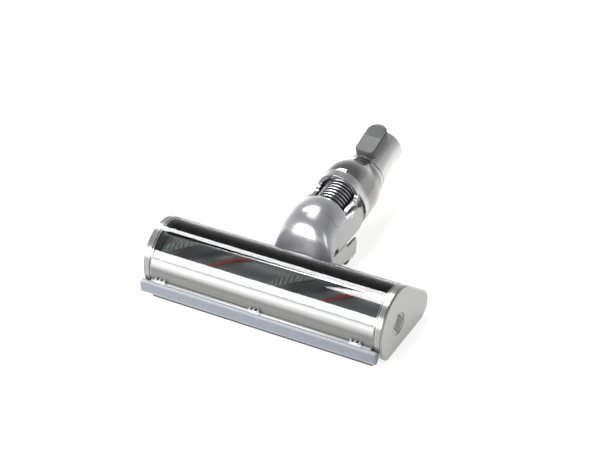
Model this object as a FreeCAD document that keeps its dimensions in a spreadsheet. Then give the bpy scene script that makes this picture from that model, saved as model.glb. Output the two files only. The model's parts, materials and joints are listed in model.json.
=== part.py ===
# Motorised vacuum floor head: clear-topped brush housing, hinged neck and wand socket.
# Frame: +X along the brush towards the vented end cap, +Y to the wand, +Z up, floor at Z = 0.
# The origin is on the floor, in the middle of the part's width and depth. Millimetres.
import FreeCAD, Part
import math
import os
import Sketcher
from FreeCAD import Placement, Rotation, Vector

os.makedirs("parts", exist_ok=True)
doc = FreeCAD.newDocument("TurboBrush")

# Driving dimensions
SIZES = (
    ("head_width", 250.0, "over both end caps"),
    ("floor_gap", 1.6, "sole above the floor"),
    ("axis_height", 29.4, "brush axis above the floor"),
    ("cap_radius", 35.5, "end cap round about the brush axis"),
    ("tail_back", 48.0, "brush axis back to the rear round"),
    ("tail_radius", 15.4, "rear round of the end cap"),
    ("cap_depth", 9.0, "end cap along X"),
    ("cap_face", 3.0, "end cap face thickness"),
    ("cap_wall", 2.2, "end cap rim thickness"),
    ("cap_band", 2.4, "narrow band beside the clear cover"),
    ("band_step", 0.6, "band set in from the cap rim"),
    ("cap_chamfer", 1.6, "polished bevel round the cap face"),
    ("vent_radius", 11.0, "cooling vent in the right cap"),
    ("vent_thick", 1.6, "vent grille thickness"),
    ("vent_inset", 0.4, "grille behind the cap face"),
    ("slot_long", 2.9, "vent slot length"),
    ("slot_high", 1.5, "vent slot height"),
    ("slot_rib", 0.8, "rib between vent slots"),
    ("housing_inset", 0.3, "housing set in from the cap outline"),
    ("housing_wall", 2.0, "housing wall"),
    ("chamber_radius", 33.4, "brush chamber"),
    ("cover_radius", 35.2, "clear cover outside"),
    ("cover_wall", 1.6, "clear cover wall"),
    ("cover_rear", 50.0, "cover's rear edge, degrees up from level"),
    ("cover_front", 197.0, "cover's front edge, degrees up from level"),
    ("duct_width", 46.0, "suction duct between chamber and elbow"),
    ("duct_low", 14.0, "duct floor above the ground"),
    ("duct_high", 34.0, "duct roof above the ground"),
    ("duct_wall", 2.5, "duct side wall"),
    ("sole_thick", 2.2, "sole plate"),
    ("intake_front", 23.0, "intake edge in front of the brush axis"),
    ("intake_back", 22.0, "intake edge behind the brush axis"),
    ("intake_side", 2.4, "sole left at each end of the intake"),
    ("rail_front", 34.5, "bumper rail face in front of the brush axis"),
    ("rail_wall", 2.6, "bumper rail thickness"),
    ("rail_top", 18.7, "bumper rail above the floor"),
    ("bumper_reach", 39.5, "bumper nose in front of the brush axis"),
    ("bumper_low", 3.6, "bumper's lower edge above the floor"),
    ("bumper_round", 3.4, "bumper nose rounding"),
    ("bumper_short", 9.6, "bumper ends before the right end"),
    ("seal_depth", 1.6, "lip seal between bumper and cover"),
    ("seal_high", 1.4, "lip seal height"),
    ("tube_radius_roll", 21.0, "brush roll tube outside"),
    ("tube_bore_roll", 18.8, "brush roll tube bore"),
    ("roll_gap", 1.5, "brush roll to cap rim along X"),
    ("bristle_reach", 28.6, "bristle tips from the brush axis"),
    ("strip_base", 0.5, "bristle strip let into the tube"),
    ("strip_red", 3.0, "red strip width"),
    ("strip_black", 9.0, "black strip width"),
    ("strip_tuft", 8.0, "tuft strip width"),
    ("strip_turns", 0.85, "turns of each strip along the roll"),
    ("strip_start", 20.0, "angle of the first strip at the left end"),
    ("mount_radius", 13.0, "motor mount spigot"),
    ("mount_bore", 10.0, "cooling air bore in the mount"),
    ("mount_flange", 17.0, "motor mount flange radius"),
    ("mount_long", 18.0, "motor mount length"),
    ("flange_thick", 2.5, "motor mount flange"),
    ("motor_radius", 15.5, "motor can"),
    ("motor_long", 92.0, "motor can length"),
    ("gearbox_radius", 14.0, "gearbox"),
    ("gearbox_long", 26.0, "gearbox length"),
    ("shaft_radius", 3.0, "drive shaft"),
    ("shaft_long", 16.0, "drive shaft length"),
    ("dog_long", 12.0, "drive dog length"),
    ("bearing_wide", 7.0, "roll bearing width"),
    ("plug_long", 10.0, "left plug in the roll"),
    ("stub_radius", 4.0, "left stub axle"),
    ("stub_bearing", 9.0, "left bearing outside"),
    ("stub_wide", 4.0, "left bearing width"),
    ("fit_gap", 0.1, "clearance of a plain fit"),
    ("run_gap", 0.3, "clearance of running faces"),
    ("lock_radius", 7.5, "cap lock head"),
    ("lock_thick", 2.2, "cap lock head thickness"),
    ("lock_shank", 3.6, "cap lock shank radius"),
    ("lock_long", 14.0, "cap lock length"),
    ("coin_wide", 1.8, "coin slot width"),
    ("coin_long", 11.0, "coin slot length"),
    ("coin_deep", 1.0, "coin slot depth"),
    ("roller_radius", 4.6, "front roller"),
    ("roller_wide", 8.0, "front roller width"),
    ("roller_inset", 28.0, "front roller from the end of the sole"),
    ("roller_front", 28.8, "front roller axle in front of the brush axis"),
    ("roller_axle", 1.5, "front axle radius"),
    ("wheel_radius", 9.0, "rear wheel"),
    ("wheel_wide", 8.0, "rear wheel width"),
    ("wheel_side", 18.5, "rear wheel from mid-width"),
    ("wheel_back", 99.0, "rear axle behind the brush axis"),
    ("wheel_axle", 2.0, "rear axle radius"),
    ("cheek_half", 26.5, "cheek face from mid-width"),
    ("cheek_wall", 3.4, "cheek thickness"),
    ("cheek_end_back", 111.0, "round end of the cheek behind the brush axis"),
    ("cheek_end_up", 44.5, "round end of the cheek above the floor"),
    ("cheek_round", 13.0, "round end radius"),
    ("cheek_top", 60.0, "cheek's top edge at the elbow"),
    ("cheek_root", 72.0, "where the cheek leaves the elbow"),
    ("carriage_top", 30.6, "wheel carriage top edge"),
    ("carriage_end", 110.5, "wheel carriage end behind the brush axis"),
    ("carriage_low", 8.0, "wheel carriage lower edge at its end"),
    ("carriage_wall", 2.5, "wheel carriage side plate"),
    ("carriage_step", 5.0, "notch in the carriage's top rear corner"),
    ("foot_back", 44.0, "elbow foot, upper edge behind the brush axis"),
    ("foot_high", 42.0, "elbow foot, upper edge height"),
    ("foot_low", 12.0, "elbow foot, lower edge height"),
    ("foot_low_back", 60.0, "elbow foot, lower edge behind the brush axis"),
    ("foot_half", 33.5, "elbow foot half width"),
    ("elbow_back", 68.0, "elbow crown behind the brush axis"),
    ("elbow_up", 47.3, "elbow centre above the floor"),
    ("elbow_radius", 28.5, "elbow outside"),
    ("elbow_wall", 2.4, "elbow wall"),
    ("elbow_inner", 22.9, "elbow half width inside"),
    ("seam_back", 70.0, "seam between elbow cover and collar"),
    ("seam_gap", 0.3, "seam width"),
    ("collar_back", 90.5, "collar edge behind the brush axis"),
    ("collar_ring", 19.5, "hose ring outside"),
    ("pivot_back", 101.5, "tilt pins behind the brush axis"),
    ("pivot_up", 54.5, "tilt pins above the floor"),
    ("pin_radius", 2.5, "tilt pin"),
    ("neck_tilt", 7.7, "neck axis above level at rest"),
    ("axis_drop", 11.25, "neck axis below the tilt pins"),
    ("neck_length", 121.0, "tilt pins to the socket mouth"),
    ("eye_radius", 7.0, "fork eye"),
    ("fork_half", 22.1, "fork outside half width"),
    ("fork_wall", 3.6, "fork arm thickness"),
    ("hood_radius", 22.4, "hood round over the hose"),
    ("hood_top", 25.8, "hood's top above the tilt pins"),
    ("belly_radius", 28.5, "belly round of the neck"),
    ("belly_low", 39.0, "belly's underside below the tilt pins"),
    ("keel_radius", 21.8, "keel round under the swivel"),
    ("keel_low", 36.0, "keel's underside below the tilt pins"),
    ("shell_wall", 2.4, "hood and dome wall"),
    ("chin_back", 9.0, "belly's front edge behind the tilt pins"),
    ("ring_back", 29.6, "hood to dome joint behind the tilt pins"),
    ("window_back", 21.0, "arch's front edge behind the tilt pins"),
    ("arch_wall", 4.0, "arch thickness round the hose"),
    ("rail_up", 5.5, "fork rail's top above the tilt pins"),
    ("rail_curve", 6.0, "curve from the rail up to the arch"),
    ("tube_long", 46.0, "wand tube from the swivel to its mouth"),
    ("tube_radius", 19.8, "wand tube outside"),
    ("socket_radius", 17.5, "wand socket bore"),
    ("socket_deep", 38.0, "wand socket depth"),
    ("airway_radius", 15.0, "air passage behind the socket"),
    ("fairing_long", 30.0, "keel under the wand tube"),
    ("hose_radius", 16.4, "hose outside"),
    ("hose_bore", 13.6, "hose bore"),
    ("hose_waves", 9.0, "hose ridges"),
    ("hose_deep", 1.5, "depth of the hose ridges"),
    ("button_half", 10.6, "release button half width"),
    ("button_long", 40.0, "release button length"),
    ("button_inset", 3.0, "release button front behind the swivel"),
    ("button_thick", 8.5, "release button thickness"),
    ("button_rise", 8.0, "release button slope, degrees"),
    ("button_press", 4.5, "room for the button's travel, degrees"),
    ("button_ribs", 5.0, "finger ribs"),
    ("button_hinge", 11.0, "release button front to its pin"),
    ("button_pin_radius", 1.2, "release button pin"),
    ("spring_radius", 2.6, "release button spring"),
    ("spring_wire", 0.4, "release button spring wire"),
    ("spring_place", 30.0, "release button front to its spring"),
    ("lug_thick", 2.2, "lugs that hold the button pin"),
    ("trim_thick", 1.2, "trim ring"),
    ("trim_proud", 0.35, "trim ring outside the hood"),
    ("bulkhead", 3.0, "wall that carries the swivel"),
    ("spigot_radius", 17.0, "swivel spigot"),
    ("spigot_long", 9.0, "swivel spigot length"),
    ("clip_thick", 1.6, "swivel clip"),
    ("clip_radius", 18.6, "swivel clip outside"),
    ("cuff_thick", 2.4, "hose cuff"),
    ("cuff_reach", 3.4, "front cuff behind the collar's edge"),
    ("contact_wide", 12.0, "contact block width"),
    ("contact_high", 4.0, "contact block height"),
    ("contact_long", 5.5, "contact block length"),
    ("blade_thick", 0.9, "contact blade"),
    ("blade_proud", 2.6, "contact blade in front of its block"),
    ("screw_radius", 1.5, "screw shank"),
    ("screw_head", 3.0, "screw head radius"),
    ("screw_high", 1.5, "screw head height"),
    ("screw_long", 12.0, "screw length"),
    ("screw_back", 40.0, "screws behind the brush axis"),
    ("screw_inset", 16.0, "outer screws from the end of the sole"),
    ("screw_near", 44.0, "inner screws from mid-width"),
    ("boss_radius", 3.6, "screw boss"),
    ("boss_high", 35.5, "screw boss height"),
    ("bridge_thick", 2.5, "bridge between the carriage plates"),
)

sheet = doc.addObject("Spreadsheet::Sheet", "Dims")
for row, (alias, number, meaning) in enumerate(SIZES, start=1):
    sheet.set("A%d" % row, meaning)
    sheet.set("B%d" % row, str(number))
    sheet.setAlias("B%d" % row, alias)
doc.recompute()
probe = doc.addObject("App::FeaturePython", "Probe")

# Places that several pieces share, as expressions of the sheet
TILT = "Dims.neck_tilt * 1deg"
HEAD_Y = ("((Dims.bumper_reach - Dims.pivot_back - Dims.neck_length * cos({0})"
          " - (Dims.tube_radius + Dims.axis_drop) * sin({0})) / 2)").format(TILT)
INNER = "(Dims.head_width - 2 * Dims.cap_depth)"
HALF_INNER = "(Dims.head_width / 2 - Dims.cap_depth)"
SWIVEL = "(Dims.neck_length - Dims.tube_long)"
SOLE_TOP = "(Dims.floor_gap + Dims.sole_thick)"
AXES = {"X": Vector(1, 0, 0), "Y": Vector(0, 1, 0), "Z": Vector(0, 0, 1)}


def value(expression):
    """Number that an expression of the sheet stands for."""
    return float(probe.evalExpression(str(expression)))


def place(piece, frame, x="0", y="0", z="0"):
    """Put a piece in the head, brush or neck frame, at an offset in that frame."""
    if frame == "neck":
        piece.Placement = Placement(Vector(), Rotation(AXES["X"], 1))
        piece.setExpression("Placement.Rotation.Angle", TILT)
        piece.setExpression("Placement.Base.y", "%s + Dims.pivot_back + (%s) * cos(%s) - (%s) * sin(%s)"
                            % (HEAD_Y, y, TILT, z, TILT))
        piece.setExpression("Placement.Base.z", "Dims.pivot_up + (%s) * sin(%s) + (%s) * cos(%s)"
                            % (y, TILT, z, TILT))
    else:
        up = "Dims.axis_height + " if frame == "brush" else ""
        piece.setExpression("Placement.Base.y", "%s + %s" % (HEAD_Y, y))
        piece.setExpression("Placement.Base.z", "%s%s" % (up, z))
    piece.setExpression("Placement.Base.x", str(x))


def new_body(name, frame, x="0", y="0", z="0"):
    body = doc.addObject("PartDesign::Body", name)
    body.Label = name
    place(body, frame, x, y, z)
    return body


def new_sketch(body, name, plane, offset="0"):
    """Sketch on one of the body's own origin planes, moved along its normal."""
    sketch = body.newObject("Sketcher::SketchObject", name)
    role = plane + "_Plane"
    origin_plane = [item for item in body.Origin.OriginFeatures if item.Role == role][0]
    sketch.AttachmentSupport = [(origin_plane, "")]
    sketch.MapMode = "FlatFace"
    if offset != "0":
        sketch.setExpression("AttachmentOffset.Base.z", offset)
    return sketch


def hold(sketch, kind, geometry, point, expression):
    """Distance of a sketch point from the sketch's origin, bound to an expression."""
    number = value(expression)
    if abs(number) < 1e-9:
        line = -2 if kind == "DistanceX" else -1
        sketch.addConstraint(Sketcher.Constraint("PointOnObject", geometry, point, line))
        return
    index = sketch.addConstraint(Sketcher.Constraint(kind, -1, 1, geometry, point, number))
    sketch.setExpression("Constraints[%d]" % index, expression)


def hold_radius(sketch, geometry, expression):
    index = sketch.addConstraint(Sketcher.Constraint("Radius", geometry, value(expression)))
    sketch.setExpression("Constraints[%d]" % index, expression)


def polygon(body, name, plane, corners, offset="0"):
    """Closed outline whose corners are pairs of expressions."""
    sketch = new_sketch(body, name, plane, offset)
    spots = [Vector(value(a), value(b), 0) for a, b in corners]
    count = len(spots)
    for i in range(count):
        sketch.addGeometry(Part.LineSegment(spots[i], spots[(i + 1) % count]), False)
    for i in range(count):
        sketch.addConstraint(Sketcher.Constraint("Coincident", i, 2, (i + 1) % count, 1))
    for i, (a, b) in enumerate(corners):
        hold(sketch, "DistanceX", i, 1, a)
        hold(sketch, "DistanceY", i, 1, b)
    return sketch


def rectangle(body, name, plane, low, high, offset="0"):
    corners = [(low[0], low[1]), (high[0], low[1]), (high[0], high[1]), (low[0], high[1])]
    return polygon(body, name, plane, corners, offset)


def circles(body, name, plane, radii, centre=("0", "0"), offset="0"):
    """Concentric circles, bound to their radii."""
    sketch = new_sketch(body, name, plane, offset)
    spot = Vector(value(centre[0]), value(centre[1]), 0)
    for i, radius in enumerate(radii):
        sketch.addGeometry(Part.Circle(spot, AXES["Z"], value(radius)), False)
        hold_radius(sketch, i, radius)
        if i:
            sketch.addConstraint(Sketcher.Constraint("Coincident", i, 3, 0, 3))
    hold(sketch, "DistanceX", 0, 3, centre[0])
    hold(sketch, "DistanceY", 0, 3, centre[1])
    return sketch


def pad(body, name, sketch, length, both=False):
    feature = body.newObject("PartDesign::Pad", name)
    feature.Profile = sketch
    feature.setExpression("Length", length)
    feature.Midplane = both
    doc.recompute()
    return feature


def pocket(body, name, sketch, length, forward=True):
    """Cut from the sketch along its normal, or against it. The volume must fall."""
    before = body.Shape.Volume
    feature = body.newObject("PartDesign::Pocket", name)
    feature.Profile = sketch
    feature.setExpression("Length", length)
    feature.Reversed = forward
    doc.recompute()
    if not body.Shape.Volume < before - 1e-3:
        raise RuntimeError("%s cuts nothing" % name)
    return feature


def revolve(name, frame, corners, x="0", y="0", z="0", axis="H_Axis", plane="XY"):
    """Turned piece: an outline of (along the axis, radius) pairs."""
    body = new_body(name, frame, x, y, z)
    sketch = polygon(body, name + "_profile", plane, corners)
    feature = body.newObject("PartDesign::Revolution", name + "_turned")
    feature.Profile = sketch
    feature.ReferenceAxis = (sketch, [axis])
    feature.Angle = 360
    doc.recompute()
    return body


def tube_profile(start, end, outer, inner="0"):
    return [(start, inner), (end, inner), (end, outer), (start, outer)]


def edges_in_plane(shape, axis, height):
    """Names of the edges that lie in one plane."""
    names = []
    for number, edge in enumerate(shape.Edges, start=1):
        if all(abs(getattr(v.Point, axis) - height) < 1e-6 for v in edge.Vertexes):
            if abs(getattr(edge.CenterOfMass, axis) - height) < 1e-6:
                names.append("Edge%d" % number)
    return names


def dress(body, kind, name, axis, height, setting, size):
    """Bevel or round the body's edges that lie in one plane."""
    tip = body.Tip
    names = edges_in_plane(tip.Shape, axis, height)
    feature = body.newObject(kind, name)
    feature.Base = (tip, names)
    feature.setExpression(setting, size)
    doc.recompute()
    return feature


def part_shape(name, frame, shape, x="0", y="0", z="0"):
    """Piece whose shape is built below from the sheet's values."""
    piece = doc.addObject("Part::Feature", name)
    piece.Label = name
    piece.Shape = shape.removeSplitter()
    place(piece, frame, x, y, z)
    return piece


# Teardrop section: round about the brush axis, straight slope, rear round, flat sole
def teardrop_points(inset):
    """Numbers of the teardrop, moved in by inset."""
    high = value("Dims.axis_height")
    low = value("Dims.floor_gap")
    back = value("Dims.tail_back")
    radius = value("Dims.cap_radius") - inset
    tail = value("Dims.tail_radius") - inset
    tail_up = low + value("Dims.tail_radius")
    reach = math.hypot(back, tail_up - high)
    lean = math.atan2(tail_up - high, back) + math.acos((radius - tail) / reach)
    sole = low + inset
    front = math.sqrt(radius ** 2 - (high - sole) ** 2)
    return {"radius": radius, "tail": tail, "high": high, "back": back, "tail_up": tail_up,
            "lean": lean, "sole": sole, "front": front}


def teardrop_sketch(body, name, inset="0", offset="0"):
    n = teardrop_points(value(inset))
    sketch = new_sketch(body, name, "YZ", offset)
    tail_centre = Vector(n["back"], n["tail_up"], 0)
    roll_centre = Vector(0, n["high"], 0)
    out = Vector(math.cos(n["lean"]), math.sin(n["lean"]), 0)
    toe = Vector(-n["front"], n["sole"], 0)
    heel = Vector(n["back"], n["sole"], 0)
    toe_angle = math.atan2(n["sole"] - n["high"], -n["front"]) + 2 * math.pi
    sketch.addGeometry(Part.ArcOfCircle(Part.Circle(tail_centre, AXES["Z"], n["tail"]),
                                        -math.pi / 2, n["lean"]), False)
    sketch.addGeometry(Part.LineSegment(tail_centre + out * n["tail"],
                                        roll_centre + out * n["radius"]), False)
    sketch.addGeometry(Part.ArcOfCircle(Part.Circle(roll_centre, AXES["Z"], n["radius"]),
                                        n["lean"], toe_angle), False)
    sketch.addGeometry(Part.LineSegment(toe, heel), False)
    sketch.addConstraint(Sketcher.Constraint("Tangent", 0, 2, 1, 1))
    sketch.addConstraint(Sketcher.Constraint("Tangent", 1, 2, 2, 1))
    sketch.addConstraint(Sketcher.Constraint("Coincident", 2, 2, 3, 1))
    sketch.addConstraint(Sketcher.Constraint("Tangent", 3, 2, 0, 1))
    sketch.addConstraint(Sketcher.Constraint("Horizontal", 3))
    hold_radius(sketch, 0, "Dims.tail_radius - %s" % inset)
    hold_radius(sketch, 2, "Dims.cap_radius - %s" % inset)
    hold(sketch, "DistanceX", 0, 3, "Dims.tail_back")
    hold(sketch, "DistanceX", 2, 3, "0")
    hold(sketch, "DistanceY", 2, 3, "Dims.axis_height")
    hold(sketch, "DistanceY", 3, 1, "Dims.floor_gap + %s" % inset)
    return sketch


def teardrop_solid(inset, start, length):
    """The teardrop as a plain solid along X, for trimming what meets it."""
    n = teardrop_points(inset)
    tail_centre = Vector(0, n["back"], n["tail_up"])
    roll_centre = Vector(0, 0, n["high"])
    out = Vector(0, math.cos(n["lean"]), math.sin(n["lean"]))
    half = n["lean"] / 2 - math.pi / 4
    mid_tail = tail_centre + Vector(0, math.cos(half), math.sin(half)) * n["tail"]
    toe = Vector(0, -n["front"], n["sole"])
    heel = Vector(0, n["back"], n["sole"])
    edges = [Part.Arc(heel, mid_tail, tail_centre + out * n["tail"]).toShape(),
             Part.makeLine(tail_centre + out * n["tail"], roll_centre + out * n["radius"]),
             Part.Arc(roll_centre + out * n["radius"], roll_centre + Vector(0, -n["radius"], 0), toe).toShape(),
             Part.makeLine(toe, heel)]
    face = Part.Face(Part.Wire(edges))
    solid = face.extrude(Vector(length, 0, 0))
    solid.translate(Vector(start, 0, 0))
    return solid


# End caps
def end_cap(name, side):
    """Cup-shaped cap with a narrow band at its inner edge. side is 1 right, -1 left."""
    start = "%s" % HALF_INNER if side > 0 else "-Dims.head_width / 2"
    body = new_body(name, "head", start)
    inner_at = "0" if side > 0 else "Dims.cap_depth - Dims.cap_band"
    main_at = "Dims.cap_band" if side > 0 else "0"
    if side > 0:
        pad(body, name + "_band", teardrop_sketch(body, name + "_band_outline", "Dims.band_step", inner_at),
            "Dims.cap_band")
        pad(body, name + "_rim", teardrop_sketch(body, name + "_outline", "0", main_at),
            "Dims.cap_depth - Dims.cap_band")
    else:
        pad(body, name + "_rim", teardrop_sketch(body, name + "_outline", "0", main_at),
            "Dims.cap_depth - Dims.cap_band")
        pad(body, name + "_band", teardrop_sketch(body, name + "_band_outline", "Dims.band_step", inner_at),
            "Dims.cap_band")
    face_x = value("Dims.cap_depth") if side > 0 else 0.0
    dress(body, "PartDesign::Chamfer", name + "_bevel", "x", face_x, "Size", "Dims.cap_chamfer")
    mouth = "0" if side > 0 else "Dims.cap_depth"
    hollow = teardrop_sketch(body, name + "_hollow_outline", "Dims.cap_wall", mouth)
    pocket(body, name + "_hollow", hollow, "Dims.cap_depth - Dims.cap_face", side > 0)
    return body


cap_right = end_cap("end_cap_right", 1)
vent = circles(cap_right, "vent_outline", "YZ", ["Dims.vent_radius"], ("0", "Dims.axis_height"))
pocket(cap_right, "vent_hole", vent, "Dims.cap_depth")

cap_left = end_cap("end_cap_left", -1)
LOCK_Y = "(Dims.tail_back - Dims.tail_radius / 4)"
LOCK_Z = "(Dims.floor_gap + Dims.tail_radius + Dims.tail_radius / 8)"
hub = circles(cap_left, "hub_outline", "YZ", ["Dims.stub_bearing + Dims.fit_gap + Dims.cap_face",
                                              "Dims.stub_bearing + Dims.fit_gap"],
              ("0", "Dims.axis_height"), "Dims.cap_face")
pad(cap_left, "bearing_hub", hub, "Dims.cap_depth - Dims.cap_face")
lock_recess = circles(cap_left, "lock_recess_outline", "YZ", ["Dims.lock_radius + Dims.fit_gap"],
                      (LOCK_Y, LOCK_Z))
pocket(cap_left, "lock_recess", lock_recess, "Dims.lock_thick")
lock_hole = circles(cap_left, "lock_hole_outline", "YZ", ["Dims.lock_shank + Dims.fit_gap"],
                    (LOCK_Y, LOCK_Z))
pocket(cap_left, "lock_hole", lock_hole, "Dims.cap_depth")

# Quarter-turn lock that holds the left cap: head with a coin slot, shank and bayonet bar
cap_lock = revolve("cap_lock", "head", [
    ("0", "0"), ("Dims.lock_long", "0"), ("Dims.lock_long", "Dims.lock_shank"),
    ("Dims.lock_thick - Dims.fit_gap", "Dims.lock_shank"),
    ("Dims.lock_thick - Dims.fit_gap", "Dims.lock_radius"), ("0", "Dims.lock_radius")],
    "-Dims.head_width / 2", LOCK_Y, LOCK_Z)
coin = rectangle(cap_lock, "coin_outline", "YZ", ("-Dims.coin_long / 2", "-Dims.coin_wide / 2"),
                 ("Dims.coin_long / 2", "Dims.coin_wide / 2"))
pocket(cap_lock, "coin_slot", coin, "Dims.coin_deep")
bar = rectangle(cap_lock, "bayonet_outline", "YZ", ("-Dims.lock_radius", "-Dims.lock_shank / 2"),
                ("Dims.lock_radius", "Dims.lock_shank / 2"), "Dims.lock_long - Dims.lock_thick")
pad(cap_lock, "bayonet_bar", bar, "Dims.lock_thick")


# Vent grille: a disc with staggered slots like laid bricks
def vent_grille():
    radius = value("Dims.vent_radius - Dims.fit_gap")
    thick = value("Dims.vent_thick")
    pitch_z = value("Dims.slot_high + Dims.slot_rib")
    pitch_y = value("Dims.slot_long + Dims.slot_rib")
    long_y = value("Dims.slot_long")
    high_z = value("Dims.slot_high")
    disc = Part.makeCylinder(radius, thick, Vector(), AXES["X"])
    rows = int(radius / pitch_z)
    slots = []
    for row in range(-rows, rows + 1):
        shift = pitch_y / 2 if row % 2 else 0.0
        for column in range(-rows, rows + 1):
            y = column * pitch_y + shift
            z = row * pitch_z
            if math.hypot(abs(y) + long_y / 2, abs(z) + high_z / 2) < radius - high_z / 2:
                slots.append(Part.makeBox(3 * thick, long_y, high_z,
                                          Vector(-thick, y - long_y / 2, z - high_z / 2)))
    return disc.cut(Part.makeCompound(slots))


part_shape("vent_grille", "brush", vent_grille(),
           "Dims.head_width / 2 - Dims.vent_inset - Dims.vent_thick")

# Main housing: rear half of the shell with the suction duct
housing = new_body("main_housing", "head", "-" + HALF_INNER)
pad(housing, "housing_block", teardrop_sketch(housing, "housing_outline", "Dims.housing_inset"), INNER)
chamber = circles(housing, "chamber_outline", "YZ", ["Dims.chamber_radius"], ("0", "Dims.axis_height"))
pocket(housing, "chamber", chamber, INNER)
FAR = "(2 * Dims.cap_radius)"
front_part = polygon(housing, "front_outline", "YZ", [
    ("0", "Dims.axis_height"),
    ("%s * cos(Dims.cover_rear * 1deg)" % FAR, "Dims.axis_height + %s * sin(Dims.cover_rear * 1deg)" % FAR),
    ("-" + FAR, "Dims.axis_height + %s * sin(Dims.cover_rear * 1deg)" % FAR),
    ("-" + FAR, "-Dims.floor_gap"), ("0", "-Dims.floor_gap")])
pocket(housing, "front_opening", front_part, INNER)
below = rectangle(housing, "sole_seat_outline", "YZ", ("-" + FAR, "-Dims.floor_gap"), (FAR, SOLE_TOP))
pocket(housing, "sole_seat", below, INNER)


def hollow_sketch(body, name, offset):
    """Space between the chamber wall, the slope, the rear round and the sole plate."""
    n = teardrop_points(value("Dims.housing_inset + Dims.housing_wall"))
    radius = value("Dims.chamber_radius + Dims.housing_wall")
    floor = value(SOLE_TOP) - 0.5
    out = Vector(math.cos(n["lean"]), math.sin(n["lean"]), 0)
    roll_centre = Vector(0, n["high"], 0)
    tail_centre = Vector(n["back"], n["tail_up"], 0)
    spread = math.acos(n["radius"] / radius)
    top = roll_centre + Vector(math.cos(n["lean"] - spread), math.sin(n["lean"] - spread), 0) * radius
    low_angle = -math.asin((n["high"] - floor) / radius)
    low = roll_centre + Vector(math.cos(low_angle), math.sin(low_angle), 0) * radius
    heel_angle = -math.asin(min(1.0, (n["tail_up"] - floor) / n["tail"]))
    heel = tail_centre + Vector(math.cos(heel_angle), math.sin(heel_angle), 0) * n["tail"]
    sketch = new_sketch(body, name, "YZ", offset)
    sketch.addGeometry(Part.ArcOfCircle(Part.Circle(roll_centre, AXES["Z"], radius),
                                        low_angle, n["lean"] - spread), False)
    sketch.addGeometry(Part.LineSegment(top, tail_centre + out * n["tail"]), False)
    sketch.addGeometry(Part.ArcOfCircle(Part.Circle(tail_centre, AXES["Z"], n["tail"]),
                                        heel_angle, n["lean"]), False)
    sketch.addGeometry(Part.LineSegment(heel, low), False)
    sketch.addConstraint(Sketcher.Constraint("Coincident", 0, 2, 1, 1))
    sketch.addConstraint(Sketcher.Constraint("Coincident", 1, 2, 2, 2))
    sketch.addConstraint(Sketcher.Constraint("Coincident", 2, 1, 3, 1))
    sketch.addConstraint(Sketcher.Constraint("Coincident", 3, 2, 0, 1))
    return sketch


SIDE_LONG = "(%s / 2 - Dims.duct_width / 2 - Dims.duct_wall)" % INNER
pocket(housing, "left_hollow", hollow_sketch(housing, "left_hollow_outline", "0"), SIDE_LONG)
pocket(housing, "right_hollow", hollow_sketch(housing, "right_hollow_outline", INNER), SIDE_LONG, False)
duct = rectangle(housing, "duct_outline", "XZ",
                 ("%s / 2 - Dims.duct_width / 2" % INNER, "Dims.duct_low"),
                 ("%s / 2 + Dims.duct_width / 2" % INNER, "Dims.duct_high"))
pocket(housing, "suction_duct", duct, "2 * Dims.tail_back", False)

OUTER_SCREW = "(%s - Dims.screw_inset)" % HALF_INNER
SCREWS = [(sign + name, "Dims.screw_back") for name in (OUTER_SCREW, "Dims.screw_near") for sign in ("-", "")]
for number, (side, back) in enumerate(SCREWS):
    spot = ("%s + %s" % (HALF_INNER, side), back)
    boss = circles(housing, "boss_outline_%d" % number, "XY", ["Dims.boss_radius", "Dims.screw_radius"],
                   spot, SOLE_TOP)
    pad(housing, "boss_%d" % number, boss, "Dims.boss_high")

# Clear cover: a band of a circle over the brush
cover = new_body("clear_cover", "brush", "-" + HALF_INNER)
cover_sketch = new_sketch(cover, "cover_outline", "YZ")
outer = value("Dims.cover_radius")
inner = value("Dims.cover_radius - Dims.cover_wall")
first = math.radians(value("Dims.cover_rear"))
last = math.radians(value("Dims.cover_front"))
for radius in (outer, inner):
    cover_sketch.addGeometry(Part.ArcOfCircle(Part.Circle(Vector(), AXES["Z"], radius), first, last), False)
for angle in (first, last):
    ray = Vector(math.cos(angle), math.sin(angle), 0)
    cover_sketch.addGeometry(Part.LineSegment(ray * inner, ray * outer), False)
for arc, end in ((0, 1), (0, 2), (1, 1), (1, 2)):
    line = 2 if end == 1 else 3
    cover_sketch.addConstraint(Sketcher.Constraint("Coincident", arc, end, line, 2 - arc))
for arc, radius in ((0, "Dims.cover_radius"), (1, "Dims.cover_radius - Dims.cover_wall")):
    cover_sketch.addConstraint(Sketcher.Constraint("Coincident", arc, 3, -1, 1))
    hold_radius(cover_sketch, arc, radius)
    hold(cover_sketch, "DistanceY", arc, 1, "(%s) * sin(Dims.cover_rear * 1deg)" % radius)
    hold(cover_sketch, "DistanceY", arc, 2, "(%s) * sin(Dims.cover_front * 1deg)" % radius)
pad(cover, "cover_shell", cover_sketch, INNER)

# Sole plate with the intake, the bumper rail and roller notches
sole = new_body("sole_plate", "head")
plate = rectangle(sole, "plate_outline", "XY", ("-" + HALF_INNER, "-Dims.rail_front"),
                  (HALF_INNER, "Dims.tail_back"), "Dims.floor_gap")
pad(sole, "plate", plate, "Dims.sole_thick")
rail = rectangle(sole, "rail_outline", "YZ", ("-Dims.rail_front", "Dims.floor_gap"),
                 ("-Dims.rail_front + Dims.rail_wall", "Dims.rail_top"), "-" + HALF_INNER)
pad(sole, "rail", rail, INNER)
intake = rectangle(sole, "intake_outline", "XY",
                   ("-%s + Dims.intake_side" % HALF_INNER, "-Dims.intake_front"),
                   ("%s - Dims.intake_side" % HALF_INNER, "Dims.intake_back"), "-Dims.floor_gap")
pocket(sole, "intake", intake, "3 * Dims.axis_height")
ROLLER_ROOM = "(Dims.roller_radius + 2 * Dims.run_gap)"
ROLLER_SIDE = "(%s - Dims.roller_inset)" % HALF_INNER
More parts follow.
